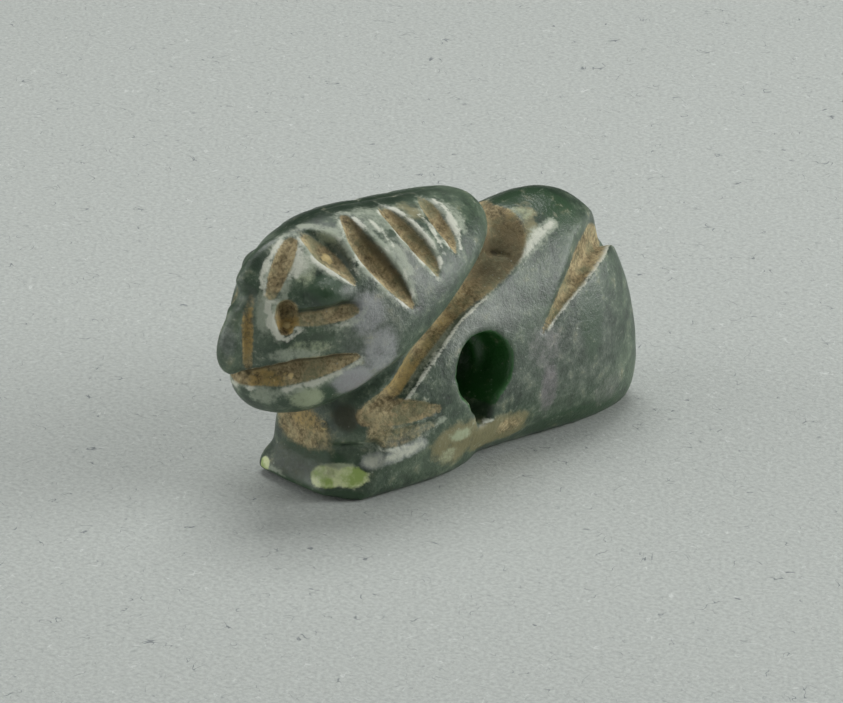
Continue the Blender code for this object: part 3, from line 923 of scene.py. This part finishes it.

# Patches of weathering, dirt, polish and lighter stone, and of painted sheen, reflection and shade
COLOUR_PATCHES: dict[Tint, tuple[ColourPatch, ...]] = {
    Tint.HALO: (
        ColourPatch((0.6, -5.0, 8.3), (0.5, 0.4, 0.4), 0.9), ColourPatch((1.0, -5.3, 7.7), (0.4, 0.45, 0.5), 1.0),
        ColourPatch((0.5, -6.1, 7.4), (0.25, 0.4, 0.8), 0.9), ColourPatch((1.05, -6.3, 5.8), (0.3, 0.3, 0.35), 0.9),
        ColourPatch((1.45, -6.1, 5.15), (0.8, 0.9, 0.28), 0.75), ColourPatch((0.75, -6.7, 3.75), (0.6, 0.5, 0.3), 0.7),
        ColourPatch((0.72, -6.5, 6.3), (0.3, 0.35, 0.8), 0.9), ColourPatch((0.9, -2.4, 8.3), (0.9, 1.6, 0.5), 0.7),
        ColourPatch((1.3, 0.4, 7.7), (1.0, 0.3, 0.7), 0.8),
    ),
    Tint.RIM: (
        ColourPatch((0.98, -5.3, 7.7), (0.26, 0.3, 0.36), 0.55), ColourPatch((2.6, 0.65, 1.45), (0.3, 0.25, 0.09), 0.9),
    ),
    Tint.PALE: (
        ColourPatch((1.1, -5.3, 7.5), (0.35, 0.4, 0.5), 0.7), ColourPatch((0.93, -4.19, 8.19), (0.5, 0.4, 0.35), 0.7),
        ColourPatch((1.6, -5.7, 3.75), (0.55, 0.6, 0.42), 0.9), ColourPatch((0.85, 3.6, 6.8), (0.45, 0.45, 0.3), 0.5),
        ColourPatch((2.6, -0.5, 1.35), (0.4, 0.5, 0.25), 0.8), ColourPatch((2.5, -0.9, 0.8), (0.4, 0.4, 0.3), 0.6),
        ColourPatch((1.25, -4.2, 1.0), (0.7, 0.6, 0.14), 0.9), ColourPatch((1.65, -5.72, 5.42), (0.7, 0.7, 0.25), 0.5),
    ),
    Tint.OLIVE: (
        ColourPatch((0.9, -0.9, 8.05), (0.7, 0.6, 0.35), 0.6), ColourPatch((2.55, -0.6, 1.1), (0.7, 1.1, 0.75), 1.0),
        ColourPatch((2.5, 0.7, 0.95), (0.7, 1.1, 0.6), 1.0), ColourPatch((2.45, 1.7, 0.95), (0.6, 0.8, 0.6), 0.9),
    ),
    Tint.OCHRE: (
        ColourPatch((0.42, -6.95, 6.0), (0.3, 0.3, 1.2), 0.7), ColourPatch((1.1, -6.0, 6.05), (0.4, 0.4, 0.4), 0.9),
        ColourPatch((-0.1, -4.4, 2.3), (1.0, 0.5, 0.5), 0.5), ColourPatch((0.75, -6.6, 4.3), (0.7, 0.7, 0.4), 0.8),
        ColourPatch((2.1, -2.3, 3.6), (0.5, 1.0, 0.9), 0.7), ColourPatch((0.6, 3.1, 6.6), (0.5, 0.5, 0.4), 0.35),
    ),
    Tint.SOIL: (
        ColourPatch((-0.2, -4.4, 1.95), (1.45, 0.5, 0.7), 0.95), ColourPatch((2.0, -3.2, 2.7), (0.6, 0.8, 0.4), 0.9),
        ColourPatch((2.5, 1.6, 1.0), (0.5, 0.6, 0.35), 0.55), ColourPatch((2.05, -3.25, 2.1), (0.4, 0.5, 0.5), 0.8),
    ),
    Tint.STAIN: (
        ColourPatch((1.3, 2.0, 6.0), (1.3, 1.5, 1.0), 0.75), ColourPatch((0.8, 2.9, 6.2), (0.8, 0.7, 0.8), 0.6),
    ),
    # Painted shade in the hollow, on the base under the head and under the chin
    Tint.SHADE: (
        ColourPatch((1.0, 2.2, 6.0), (0.9, 1.0, 0.8), 0.25), ColourPatch((0.1, -4.5, 0.95), (1.9, 0.6, 0.5), 0.45),
        ColourPatch((-0.4, -4.75, 0.6), (1.0, 0.5, 0.35), 0.45), ColourPatch((1.45, -4.05, 2.6), (0.6, 0.5, 0.5), 0.8),
    ),
    # Painted lilac-grey reflection on the haunch, the flank, the cheek and the headdress
    Tint.LILAC_REFLECTION: (
        ColourPatch((2.68, 3.03, 1.9), (0.5, 0.4, 1.1), 0.85), ColourPatch((2.65, 2.9, 3.3), (0.5, 0.8, 0.9), 0.6),
        ColourPatch((2.57, 5.65, 1.04), (0.5, 0.8, 0.7), 0.5), ColourPatch((2.2, -4.52, 4.1), (0.5, 0.7, 0.5), 0.6),
        ColourPatch((1.9, -2.2, 7.6), (0.7, 0.4, 0.8), 0.4),
    ),
    # Painted sheen on the cheek, the nose and the side of the head
    Tint.SHEEN: (
        ColourPatch((2.25, -4.5, 4.2), (0.6, 0.85, 0.6), 1.0), ColourPatch((0.21, -7.5, 5.7), (0.35, 0.3, 0.7), 0.4),
        ColourPatch((2.4, -4.05, 6.2), (0.6, 0.7, 0.8), 0.7), ColourPatch((2.65, -3.75, 5.0), (0.6, 0.7, 1.0), 0.7),
    ),
    Tint.CHIP: (
        ColourPatch((1.0, -4.45, 0.7), (0.6, 0.55, 0.36), 1.0), ColourPatch((1.55, -3.95, 0.72), (0.55, 0.6, 0.34), 1.0),
        ColourPatch((-1.5, -4.7, 0.42), (0.3, 0.3, 0.22), 0.9),
    ),
    Tint.POLISH: (
        ColourPatch((-0.4, -1.5, 8.4), (1.0, 5.0, 0.6), 0.9), ColourPatch((0.3, -5.8, 7.9), (0.6, 1.0, 1.0), 0.6),
        ColourPatch((0.2, 4.2, 7.0), (1.6, 1.9, 0.8), 0.9),
    ),
    Tint.GREEN: (
        ColourPatch((1.65, -5.0, 7.0), (0.6, 0.6, 0.5), 1.0), ColourPatch((1.9, -5.15, 3.85), (0.3, 0.35, 0.3), 0.9),
        ColourPatch((1.5, -4.35, 7.9), (0.5, 0.25, 0.5), 0.7), ColourPatch((0.6, -4.4, 1.15), (1.9, 0.6, 0.4), 1.0),
        ColourPatch((-0.3, -4.8, 0.3), (1.2, 0.5, 0.3), 1.0), ColourPatch((1.4, -4.3, 0.15), (1.4, 0.9, 0.25), 1.0),
        ColourPatch((2.3, 4.4, 0.4), (0.7, 2.2, 0.55), 1.0), ColourPatch((2.65, 4.8, 3.5), (0.5, 0.6, 1.5), 0.75),
        ColourPatch((1.1, 4.9, 6.65), (1.2, 0.8, 0.6), 0.9), ColourPatch((0.5, 4.1, 7.0), (1.3, 1.5, 0.45), 0.85),
        ColourPatch((1.9, 4.4, 5.9), (0.5, 0.35, 0.5), 0.6),
    ),
    # Painted broad grey sheen on the cheek, the headdress, the shoulder and the flank
    Tint.BROAD_SHEEN: (
        ColourPatch((2.5, -4.0, 5.6), (1.1, 1.3, 1.9), 0.6), ColourPatch((2.3, -2.6, 7.3), (0.9, 1.2, 1.0), 0.7),
        ColourPatch((2.7, 0.5, 4.6), (0.8, 2.5, 1.0), 0.5), ColourPatch((2.7, 4.0, 2.5), (0.7, 3.0, 1.8), 0.45),
    ),
}

# The fine crack across the hollow behind the headdress: a groove, with painted shade along it
CRACK = Streak(Tint.SHADE, ((0.95, 1.83, 6.07, 0.12), (0.91, 2.36, 5.91, 0.12), (1.45, 2.52, 5.93, 0.1)), 1.5)

# Long worn edges and scratches, some of them also painted sheen and highlights
FORELEG_RIM = ((1.73, -3.49, 1.1), (2.1, -3.15, 1.24), (2.34, -2.56, 1.32), (2.48, -1.94, 1.46))
HUMP_RIDGE = ((1.38, 4.34, 6.43), (1.48, 3.69, 6.29), (1.66, 3.1, 6.05), (1.8, 2.48, 5.82), (1.92, 1.93, 5.61))
STREAKS = (
    # Rim of the foreleg: painted sheen and highlight along its pale worn edge, and the scratches over it
    Streak(Tint.SHEEN, tuple((*place, 0.28) for place in FORELEG_RIM)),
    Streak(Tint.HALO, tuple((*place, 0.26) for place in FORELEG_RIM), 0.95),
    Streak(Tint.RIM, tuple((*place, 0.18) for place in FORELEG_RIM), 0.7),
    Streak(Tint.HALO, ((2.34, -2.5, 1.8, 0.16), (2.5, -1.94, 1.95, 0.3), (2.6, -1.2, 2.1, 0.16)), 0.85),
    # Ridge of the hump: a painted highlight along it, over pale wear
    Streak(Tint.HALO, tuple((*place, size) for place, size in zip(HUMP_RIDGE, (0.24, 0.34, 0.3, 0.2, 0.12))), 0.95),
    Streak(Tint.RIM, tuple((*place, size) for place, size in zip(HUMP_RIDGE, (0.12, 0.22, 0.2, 0.12, 0.08))), 0.72),
    # Round the eye
    Streak(Tint.RIM, ((0.76, -6.44, 6.67, 0.1), (0.87, -6.44, 6.07, 0.13), (1.07, -6.31, 5.74, 0.13),
                      (1.26, -6.16, 5.63, 0.11), (1.46, -5.88, 5.85, 0.06)), 1.0),
    # Both rims of the temple, then of the brow
    Streak(Tint.RIM, ((0.21, -5.43, 8.19, 0.08), (0.34, -6.09, 7.81, 0.12), (0.44, -6.38, 7.39, 0.12),
                      (0.68, -6.42, 6.89, 0.08)), 0.8),
    Streak(Tint.RIM, ((0.66, -5.16, 8.04, 0.14), (0.9, -5.36, 7.75, 0.22), (1.02, -5.6, 7.4, 0.12)), 0.8),
    Streak(Tint.HALO, ((0.08, -4.58, 8.41, 0.15), (0.46, -4.26, 8.39, 0.2), (0.89, -3.92, 8.25, 0.22),
                       (1.34, -3.93, 7.94, 0.15), (1.73, -3.95, 7.53, 0.1)), 1.0),
    Streak(Tint.RIM, ((1.04, -4.9, 7.86, 0.12), (1.44, -4.72, 7.51, 0.1), (1.77, -4.47, 7.2, 0.09),
                      (1.98, -4.21, 7.02, 0.07)), 0.9),
    # Under the mouth
    Streak(Tint.RIM, ((1.43, -6.02, 4.17, 0.08), (1.87, -5.44, 4.33, 0.1), (2.2, -4.89, 4.54, 0.09),
                      (2.42, -4.47, 4.78, 0.06)), 0.8),
    # Ridges between the locks: pale wear with a painted highlight along them
    Streak(Tint.HALO, ((0.94, -2.61, 8.25, 0.2), (1.44, -2.51, 7.98, 0.24), (1.98, -2.4, 7.52, 0.2),
                       (2.41, -2.3, 6.98, 0.12)), 0.9),
    Streak(Tint.RIM, ((0.94, -2.61, 8.25, 0.12), (1.44, -2.51, 7.98, 0.14), (1.8, -2.45, 7.7, 0.08)), 0.7),
    Streak(Tint.RIM, ((1.09, -0.76, 7.98, 0.1), (1.67, -0.75, 7.66, 0.12), (2.24, -0.87, 7.12, 0.08)), 0.8),
    Streak(Tint.RIM, ((0.49, 0.29, 8.05, 0.08), (1.05, 0.32, 7.88, 0.12), (1.77, 0.12, 7.45, 0.13),
                      (2.17, -0.14, 7.05, 0.08)), 0.9),
    # Wall of the collar, painted paler to lift its shade, and its two bright lines of pale wear and painted
    # highlight
    Streak(Tint.HALO, ((2.15, -0.5, 4.95, 0.3), (2.2, -1.2, 4.45, 0.34), (2.22, -1.9, 3.9, 0.3),
                       (2.2, -2.4, 3.3, 0.2)), 1.4),
    Streak(Tint.RIM, ((2.12, -1.1, 4.68, 0.09), (2.19, -1.66, 4.17, 0.11), (2.24, -2.22, 3.45, 0.08)), 0.9),
    Streak(Tint.RIM, ((2.32, -0.7, 4.5, 0.08), (2.31, -1.21, 4.18, 0.1), (2.3, -1.8, 3.7, 0.08)), 0.8),
    # Dirt in the hollow and the collar, the crack with its painted shade, and a chipped edge of the base
    Streak(Tint.OLIVE, ((0.59, 3.9, 6.88, 0.3), (1.23, 3.6, 6.52, 0.34), (1.58, 3.05, 6.14, 0.2)), 0.75),
    CRACK,
    Streak(Tint.CRUMB, ((1.85, -0.3, 5.05, 0.24), (1.92, -1.2, 4.4, 0.28), (1.92, -2.0, 3.7, 0.28),
                        (1.85, -2.6, 3.1, 0.24)), 0.42),
    Streak(Tint.HALO, ((-1.46, -4.71, 0.4, 0.1), (-0.91, -4.77, 0.4, 0.1), (-0.4, -4.8, 0.36, 0.08)), 0.9),
)


@dataclass
class Amulet:
    """The carved stone itself: its masses, holes, cuts, wear and stains, and the light and shade painted into its
    colour.

    Waves are given as height and size. A band beside a cut is given as how far outside the rim it
    is strongest and how quickly it fades. A cut of the full depth or more is fully soiled.
    """

    name: str = "carved_green_sphinx"
    first_cell: float = 0.1
    last_cell: float = 0.078
    ground_size: float = 30.0
    hole_y: float = 0.47
    hole_z: float = 3.2
    slow_waves: tuple[float, float] = (0.028, 1.7)
    quick_waves: tuple[float, float] = (0.012, 0.55)
    crack_depth: float = 0.07
    full_depth: float = 0.15
    halo_band: tuple[float, float] = (0.06, 0.19)
    rim_band: tuple[float, float] = (0.04, 0.1)
    crisp_band: tuple[float, float] = (0.02, 0.05)
    finish: StoneFinish = field(default_factory=StoneFinish)

    def removals(self) -> tuple[Any, ...]:
        """The two drillings that meet a little off line, the broken corner and the flat underside."""
        near = Drilling("near_drilling", 3.3, 1.4, 1.14, 0.98, self.hole_y, self.hole_z)
        far = Drilling("far_drilling", -3.3, 1.7, 1.12, 0.78, self.hole_y - 0.07, self.hole_z - 0.25)
        corner = Break("corner_break", (1.4, -4.3, 0.5), (0.72, -0.6, 0.35), 2.5)
        lifted = Break("lifted_front", (0, -3.9, 0), (0, -0.24, -1), 5.0)
        wear = Drilling("cord_wear", 3.3, 0.9, 0.56, 0.42, self.hole_y - 0.05, self.hole_z - 0.95)
        notch = Drilling("cord_notch", 3.3, 1.3, 0.36, 0.2, self.hole_y - 0.03, self.hole_z - 1.5)
        ground = Break("ground_cut", (0, 0, 0), (0, 0, -1), self.ground_size)
        return near, far, corner, lifted, wear, notch, ground

    def blank(self, home: bpy.types.Collection) -> bpy.types.Object:
        """Joins the masses, drills them and cuts the underside flat.

        Args:
            home: The collection for the work in hand.

        Returns:
            The blank, as evenly meshed stone.
        """
        stone = BODY.build(home)
        masses, tools = bpy.data.collections.new("masses"), bpy.data.collections.new("tools")
        for group in (masses, tools):
            bpy.context.scene.collection.children.link(group)
        for mass in (HEAD, FORELEGS, NOSE, BROW):
            mass.build(masses)
        combined(stone, "UNION", masses)
        for tool in self.removals():
            tool.build(tools)
        combined(stone, "DIFFERENCE", tools)
        for group in (masses, tools):
            for obj in list(group.objects):
                bpy.data.objects.remove(obj)
            bpy.data.collections.remove(group)
        self.even_out(stone, self.first_cell, 6)
        return stone

    def even_out(self, stone: bpy.types.Object, cell: float, passes: int) -> None:
        """Meshes the stone anew in even cells and softens its edges a little.

        Args:
            stone: The stone's object.
            cell: The cells' size in millimetres.
            passes: How many times the edges are softened.
        """
        evened = stone.modifiers.new("even cells", "REMESH")
        evened.mode = "VOXEL"
        evened.voxel_size = cell
        soft = stone.modifiers.new("soft edges", "SMOOTH")
        soft.iterations = passes
        soft.factor = 0.5
        settled(stone)

    def laid(self, stone: bpy.types.Object) -> list[LaidCut]:
        """Lays every tool mark on both sides of the blank."""
        tree = BVHTree.FromObject(stone, bpy.context.evaluated_depsgraph_get())
        return [LaidCut(cut, tree, side) for cut in CUTS
                for side in ((1, -1) if cut.both_sides else (1,))]

    def shape(self, stone: bpy.types.Object) -> list[LaidCut]:
        """Swells the soft forms and cuts every mark.

        Args:
            stone: The blank.

        Returns:
            The marks as they were laid.
        """
        mesh = stone.data
        points, normals = surface_rows(mesh)
        for swell in SWELLS:
            for side in (1, -1):
                points += normals * (swell.height * swell.reach(points, side))[:, None]
        set_rows(mesh, points)
        marks = self.laid(stone)
        points, normals = surface_rows(mesh)
        moves = np.zeros_like(points)
        for mark in marks:
            which, step, across = mark.read(points, normals, 0.1)
            depth = mark.depth[step] * mark.cut.depth_share(across)
            move = -mark.outward[step] * depth[:, None]
            deeper = depth > np.linalg.norm(moves[which], axis=1)
            moves[which[deeper]] = move[deeper]
        set_rows(mesh, points + moves)
        return marks

    def wear(self, stone: bpy.types.Object) -> None:
        """Adds crumbs of dirt and the unevenness of hand work and handling."""
        mesh = stone.data
        points, normals = surface_rows(mesh)
        (slow, slow_size), (quick, quick_size) = self.slow_waves, self.quick_waves
        rise = slow * unevenness(points, slow_size, 3.0) + quick * unevenness(points, quick_size, 8.0)
        rise *= eased(points[:, 2], 0.05, 0.5)
        for crumb in CRUMBS:
            away = np.linalg.norm(points - np.array(crumb.centre), axis=1) / crumb.radius
            rise += crumb.height * eased(away, 1.3, 0.5)
        rise -= self.crack_depth * CRACK.cover(points)
        set_rows(mesh, points + normals * rise[:, None])

    def soil_marks(self, layers: Layers, marks: list[LaidCut], points: Rows, normals: Rows,
                   worn: Rows) -> None:
        """Lays soil in the tool marks, worn rims beside them that also stand in for highlights, and painted
        shade on their walls.

        Args:
            layers: The stone's tints.
            marks: The tool marks as they were laid.
            points: The stone's points.
            normals: The surface's normals there.
            worn: How worn the stone is there.
        """
        scuffed = np.clip(0.55 + 1.7 * unevenness(points, 0.4, 34.0), 0, 1)
        for mark in marks:
            cut = mark.cut
            which, step, across = mark.read(points, normals, -0.4)
            progress = np.clip(mark.travel[step] / mark.travel[-1], 0, 1)
            start, end = cut.soil_span
            if cut.soil_end is not None:
                end = end + (cut.soil_end - end) * eased(progress, 0.3, 0.85)
            inside = eased(across, start - 0.2, start + 0.1) * eased(across - end, 0.3, -0.15)
            depth = np.clip(mark.depth[step] / self.full_depth, 0, 1)
            layers.lay(Tint.SOIL, cut.soil * inside * depth, which)
            beyond = (np.abs(across) - 1) * mark.half_width[step]
            strength = np.where(across < 0, cut.left_halo, cut.right_halo) * depth
            for tint, (middle, width), patchy in (
                (Tint.HALO, self.halo_band, worn), (Tint.RIM, self.rim_band, scuffed),
            ):
                band = np.exp(-((beyond - middle) / width) ** 2)
                layers.lay(tint, band * strength * patchy[which], which)
            # Painted shade on the far wall of each cut
            wall = eased(across, 0.2, 0.7) * eased(across, 1.1, 0.85)
            layers.lay(Tint.SHADE, cut.shaded * wall * depth, which)
            # A thin pale line along the right rim: worn edge and painted highlight
            if cut.crisp is not None:
                middle, width = self.crisp_band
                line = np.exp(-((beyond - middle) / width) ** 2) * (across > 0)
                first, last = cut.crisp
                kept = eased(progress, first - 0.08, first + 0.08) * eased(progress, last + 0.08, last - 0.08)
                layers.lay(Tint.RIM, line * kept, which)

    def paint(self, stone: bpy.types.Object, marks: list[LaidCut]) -> None:
        """Keeps where the stone is soiled, worn, stained and chipped, and where light and shade are painted, in its
        colour layers.

        Args:
            stone: The carved stone.
            marks: Its tool marks as they were laid.
        """
        points, normals = surface_rows(stone.data)
        layers = Layers(len(points))
        worn = np.clip(0.9 + 1.3 * unevenness(points, 0.5, 21.0), 0, 1)
        self.soil_marks(layers, marks, points, normals, worn)
        lumpy = 0.9 * unevenness(points, 0.14, 55.0)
        for streak in STREAKS:
            near = streak.cover(points + 0.08 * lumpy[:, None]) * streak.strength
            layers.lay(streak.tint, near * (0.55 + 0.45 * worn))
        for crumb in CRUMBS:
            away = np.linalg.norm(points - np.array(crumb.centre), axis=1) / crumb.radius
            layers.lay(Tint.CRUMB, eased(away + lumpy, 1.35, 0.7))
        # Patches of stain, wear and painted light alike
        for tint, stains in COLOUR_PATCHES.items():
            for stain in stains:
                away = (points - np.array(stain.centre)) / np.array(stain.radii)
                near = eased(np.linalg.norm(away, axis=1), 1.25, 0.45)
                layers.lay(tint, near * stain.strength)
        # Painted green glow of light through the stone on the bore's walls, fainter towards the far side
        off_axis = points - (0.0, self.hole_y, self.hole_z)
        off_axis[:, 0] = 0.0
        distance = np.linalg.norm(off_axis, axis=1)
        inward = -(normals * off_axis).sum(axis=1) / np.maximum(distance, 0.01)
        bore = eased(distance, 1.45, 1.2) * eased(inward, 0.2, 0.5)
        layers.lay(Tint.BORE_GLOW, bore * (0.4 + 0.6 * eased(points[:, 0], -1.2, 0.8)))
        layers.keep(stone.data)

    def place(self, stone: bpy.types.Object, low: Vector, high: Vector) -> None:
        """Brings the stone to metres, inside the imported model's box, with a flat underside.

        Args:
            stone: The finished stone.
            low: The box's lowest corner.
            high: Its highest corner.
        """
        points = (surface_rows(stone.data)[0] + np.array(CENTRING)) * MM
        inner_low, inner_high = np.array(low), np.array(high)
        for axis in (0, 1):
            reach = max(points[:, axis].max() / inner_high[axis], points[:, axis].min() / inner_low[axis])
            LOG.info("axis %d reaches %.4f of the box", axis, reach)
            points[:, axis] /= max(reach, 1.0)
        LOG.info("top reaches %.4f of the box", points[:, 2].max() / inner_high[2])
        points[:, 2] *= min(1.0, inner_high[2] / points[:, 2].max())
        points[:, 2] = np.where(points[:, 2] < 0.02 * MM, 0.0, points[:, 2])
        set_rows(stone.data, points)

    def build(self, low: Vector, high: Vector) -> bpy.types.Object:
        """Makes the whole stone.

        Args:
            low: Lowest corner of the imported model's box.
            high: Its highest corner.

        Returns:
            The finished piece.
        """
        stone = self.blank(bpy.context.scene.collection)
        marks = self.shape(stone)
        self.even_out(stone, self.last_cell, 2)
        self.wear(stone)
        self.paint(stone, marks)
        self.place(stone, low, high)
        stone.name = stone.data.name = self.name
        stone.data.materials.clear()
        stone.data.materials.append(self.finish.material())
        stone.data.shade_smooth()
        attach(stone, "root")
        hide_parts("sphinx_amulet")
        return stone


@dataclass(frozen=True)
class PaperFinish:
    """Pale grey uncoated paper: matt, with fibres and specks in its pulp."""

    name: str = "grey_paper"
    sheet: str = "#c4c9c4"
    shade: str = "#adb2ae"
    dark_fibre: str = "#6f7579"
    pale_fibre: str = "#d8dcd8"

    def material(self) -> bpy.types.Material:
        """Builds the paper's material."""
        made = bpy.data.materials.new(self.name)
        made.use_nodes = True
        tree = made.node_tree
        shader = tree.nodes["Principled BSDF"]
        mm = millimetres(tree)
        pulp = add_node(tree, "ShaderNodeTexNoise", {
            "Vector": mm, "Scale": 7.0, "Detail": 4.0, "Roughness": 0.7}).outputs["Fac"]
        colour = add_node(tree, "ShaderNodeValToRGB", {"Fac": pulp}, (
            (0.33, self.shade), (0.62, self.sheet))).outputs["Color"]
        for turn, scale, thread, thin, cover in (
            ((11.0, 3.0, 0.0), 1.1, self.dark_fibre, 0.01, 0.8),
            ((4.0, 17.0, 0.0), 2.2, self.dark_fibre, 0.018, 0.35),
            ((23.0, 7.0, 0.0), 1.6, self.pale_fibre, 0.014, 0.7),
        ):
            moved = add_node(tree, "ShaderNodeMapping", {"Vector": mm, "Location": turn}).outputs["Vector"]
            bent = add_node(tree, "ShaderNodeTexNoise", {
                "Vector": moved, "Scale": scale, "Detail": 1.0, "Distortion": 1.2}).outputs["Fac"]
            rare = add_node(tree, "ShaderNodeTexNoise", {
                "Vector": moved, "Scale": 1.3 * scale, "Detail": 1.0, "Roughness": 0.4}).outputs["Fac"]
            line = add_node(tree, "ShaderNodeMath", {0: bent, 1: 0.5}, operation="SUBTRACT").outputs[0]
            line = add_node(tree, "ShaderNodeMath", {0: line}, operation="ABSOLUTE").outputs[0]
            fibres = product(tree, ranged(tree, line, thin, 0.3 * thin), ranged(tree, rare, 0.58, 0.66, cover))
            colour = covered(tree, colour, linear(thread), fibres)
        bump = add_node(tree, "ShaderNodeBump", {"Height": pulp, "Distance": 0.00004, "Strength": 0.6})
        tree.links.new(colour, shader.inputs["Base Color"])
        tree.links.new(bump.outputs[0], shader.inputs["Normal"])
        shader.inputs["Roughness"].default_value = 0.9
        shader.inputs["Specular IOR Level"].default_value = 0.2
        return made


@dataclass(frozen=True)
class Softbox:
    """One soft light, hung round the stone and facing it.

    Its bearing is 0 at the camera's right, 90 at the camera and 180 at its left, in degrees.
    """

    name: str
    bearing: float
    height: float
    power: float
    distance: float = 0.16
    size: tuple[float, float] = (0.11, 0.09)

    def build(self, aim: Vector, right: Vector, back: Vector) -> bpy.types.Object:
        """Hangs the light.

        Args:
            aim: The point that it faces, in metres.
            right: The level direction to the camera's right.
            back: The level direction to the camera.

        Returns:
            The light's object.
        """
        lamp = bpy.data.lights.new(self.name, "AREA")
        lamp.shape = "RECTANGLE"
        lamp.size, lamp.size_y = self.size
        lamp.energy = self.power
        turn, rise = radians(self.bearing), radians(self.height)
        way = (right * cos(turn) + back * sin(turn)) * cos(rise) + Vector((0, 0, sin(rise)))
        obj = bpy.data.objects.new(self.name, lamp)
        obj.location = aim + way * self.distance
        obj.rotation_mode = "QUATERNION"
        obj.rotation_quaternion = (-way).to_track_quat("-Z", "Y")
        bpy.context.scene.collection.objects.link(obj)
        return obj


@dataclass
class Studio:
    """Paper, lights and camera."""

    sheet_size: float = 0.6
    azimuth: float = 47.0
    elevation: float = 23.0
    lens: float = 250.0
    sensor: float = 36.0
    frame_pixels: float = 843.0
    pixels_per_mm: float = 33.6
    aim: Point = (0.00014, 0.00002, 0.0031)
    sky: str = "#c9cfd2"
    sky_strength: float = 0.03
    softboxes: tuple[Softbox, ...] = (
        Softbox("right_low_softbox", 0, 15, 0.18, size=(0.1, 0.09)),
        Softbox("left_low_softbox", 180, 15, 0.066),
        Softbox("left_front_softbox", 135, 15, 0.033),
        Softbox("left_high_softbox", 180, 48, 0.03),
        Softbox("right_high_softbox", 20, 48, 0.03),
        Softbox("top_softbox", 270, 70, 0.152),
    )
    paper: PaperFinish = field(default_factory=PaperFinish)

    def towards_camera(self, elevation: float) -> Vector:
        """The direction from the stone to the camera, at this height in degrees."""
        a, e = radians(self.azimuth), radians(elevation)
        return Vector((sin(a) * cos(e), -cos(a) * cos(e), sin(e)))

    def floor(self) -> bpy.types.Object:
        """The sheet of paper that the stone lies on."""
        bm = bmesh.new()
        bmesh.ops.create_grid(bm, x_segments=1, y_segments=1, size=self.sheet_size / 2)
        obj = object_from(bm, "paper_sheet", bpy.context.scene.collection)
        obj.data.materials.append(self.paper.material())
        obj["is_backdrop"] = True
        return obj

    def lights(self) -> None:
        """Hangs the soft boxes, low and broad on both sides, in a dim room."""
        right = Vector((cos(radians(self.azimuth)), sin(radians(self.azimuth)), 0))
        back = self.towards_camera(0.0)
        for box in self.softboxes:
            box.build(Vector(self.aim), right, back)
        world = bpy.data.worlds.new("room")
        world.use_nodes = True
        backdrop = world.node_tree.nodes["Background"]
        backdrop.inputs["Color"].default_value = linear(self.sky)
        backdrop.inputs["Strength"].default_value = self.sky_strength
        bpy.context.scene.world = world

    def camera(self) -> bpy.types.Object:
        """The camera, at the photograph's angle and distance."""
        made = bpy.data.cameras.new("camera")
        made.lens = self.lens
        made.sensor_width = self.sensor
        obj = bpy.data.objects.new("camera", made)
        bpy.context.scene.collection.objects.link(obj)
        back = self.towards_camera(self.elevation)
        distance = self.lens / self.sensor * self.frame_pixels / self.pixels_per_mm * MM
        obj.location = Vector(self.aim) + back * distance
        obj.rotation_mode = "QUATERNION"
        obj.rotation_quaternion = (-back).to_track_quat("-Z", "Y")
        made.clip_start, made.clip_end = distance * 0.05, distance * 20
        bpy.context.scene.camera = obj
        return obj

    def build(self) -> None:
        """Sets the whole studio up."""
        self.floor()
        self.lights()
        self.camera()
        bpy.context.scene.view_settings.view_transform = "Standard"


def report(piece: bpy.types.Object) -> None:
    """Logs one finished piece."""
    mesh = piece.data
    triangles = sum(len(face.vertices) - 2 for face in mesh.polygons)
    LOG.info("%s: %d vertices, %d triangles", piece.name, len(mesh.vertices), triangles)


def main() -> None:
    """Builds the stone and the studio."""
    logging.basicConfig(level=logging.INFO, format="%(name)s: %(message)s")
    low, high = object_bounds()
    Studio().build()
    report(Amulet().build(low, high))


if __name__ == "__main__":
    main()
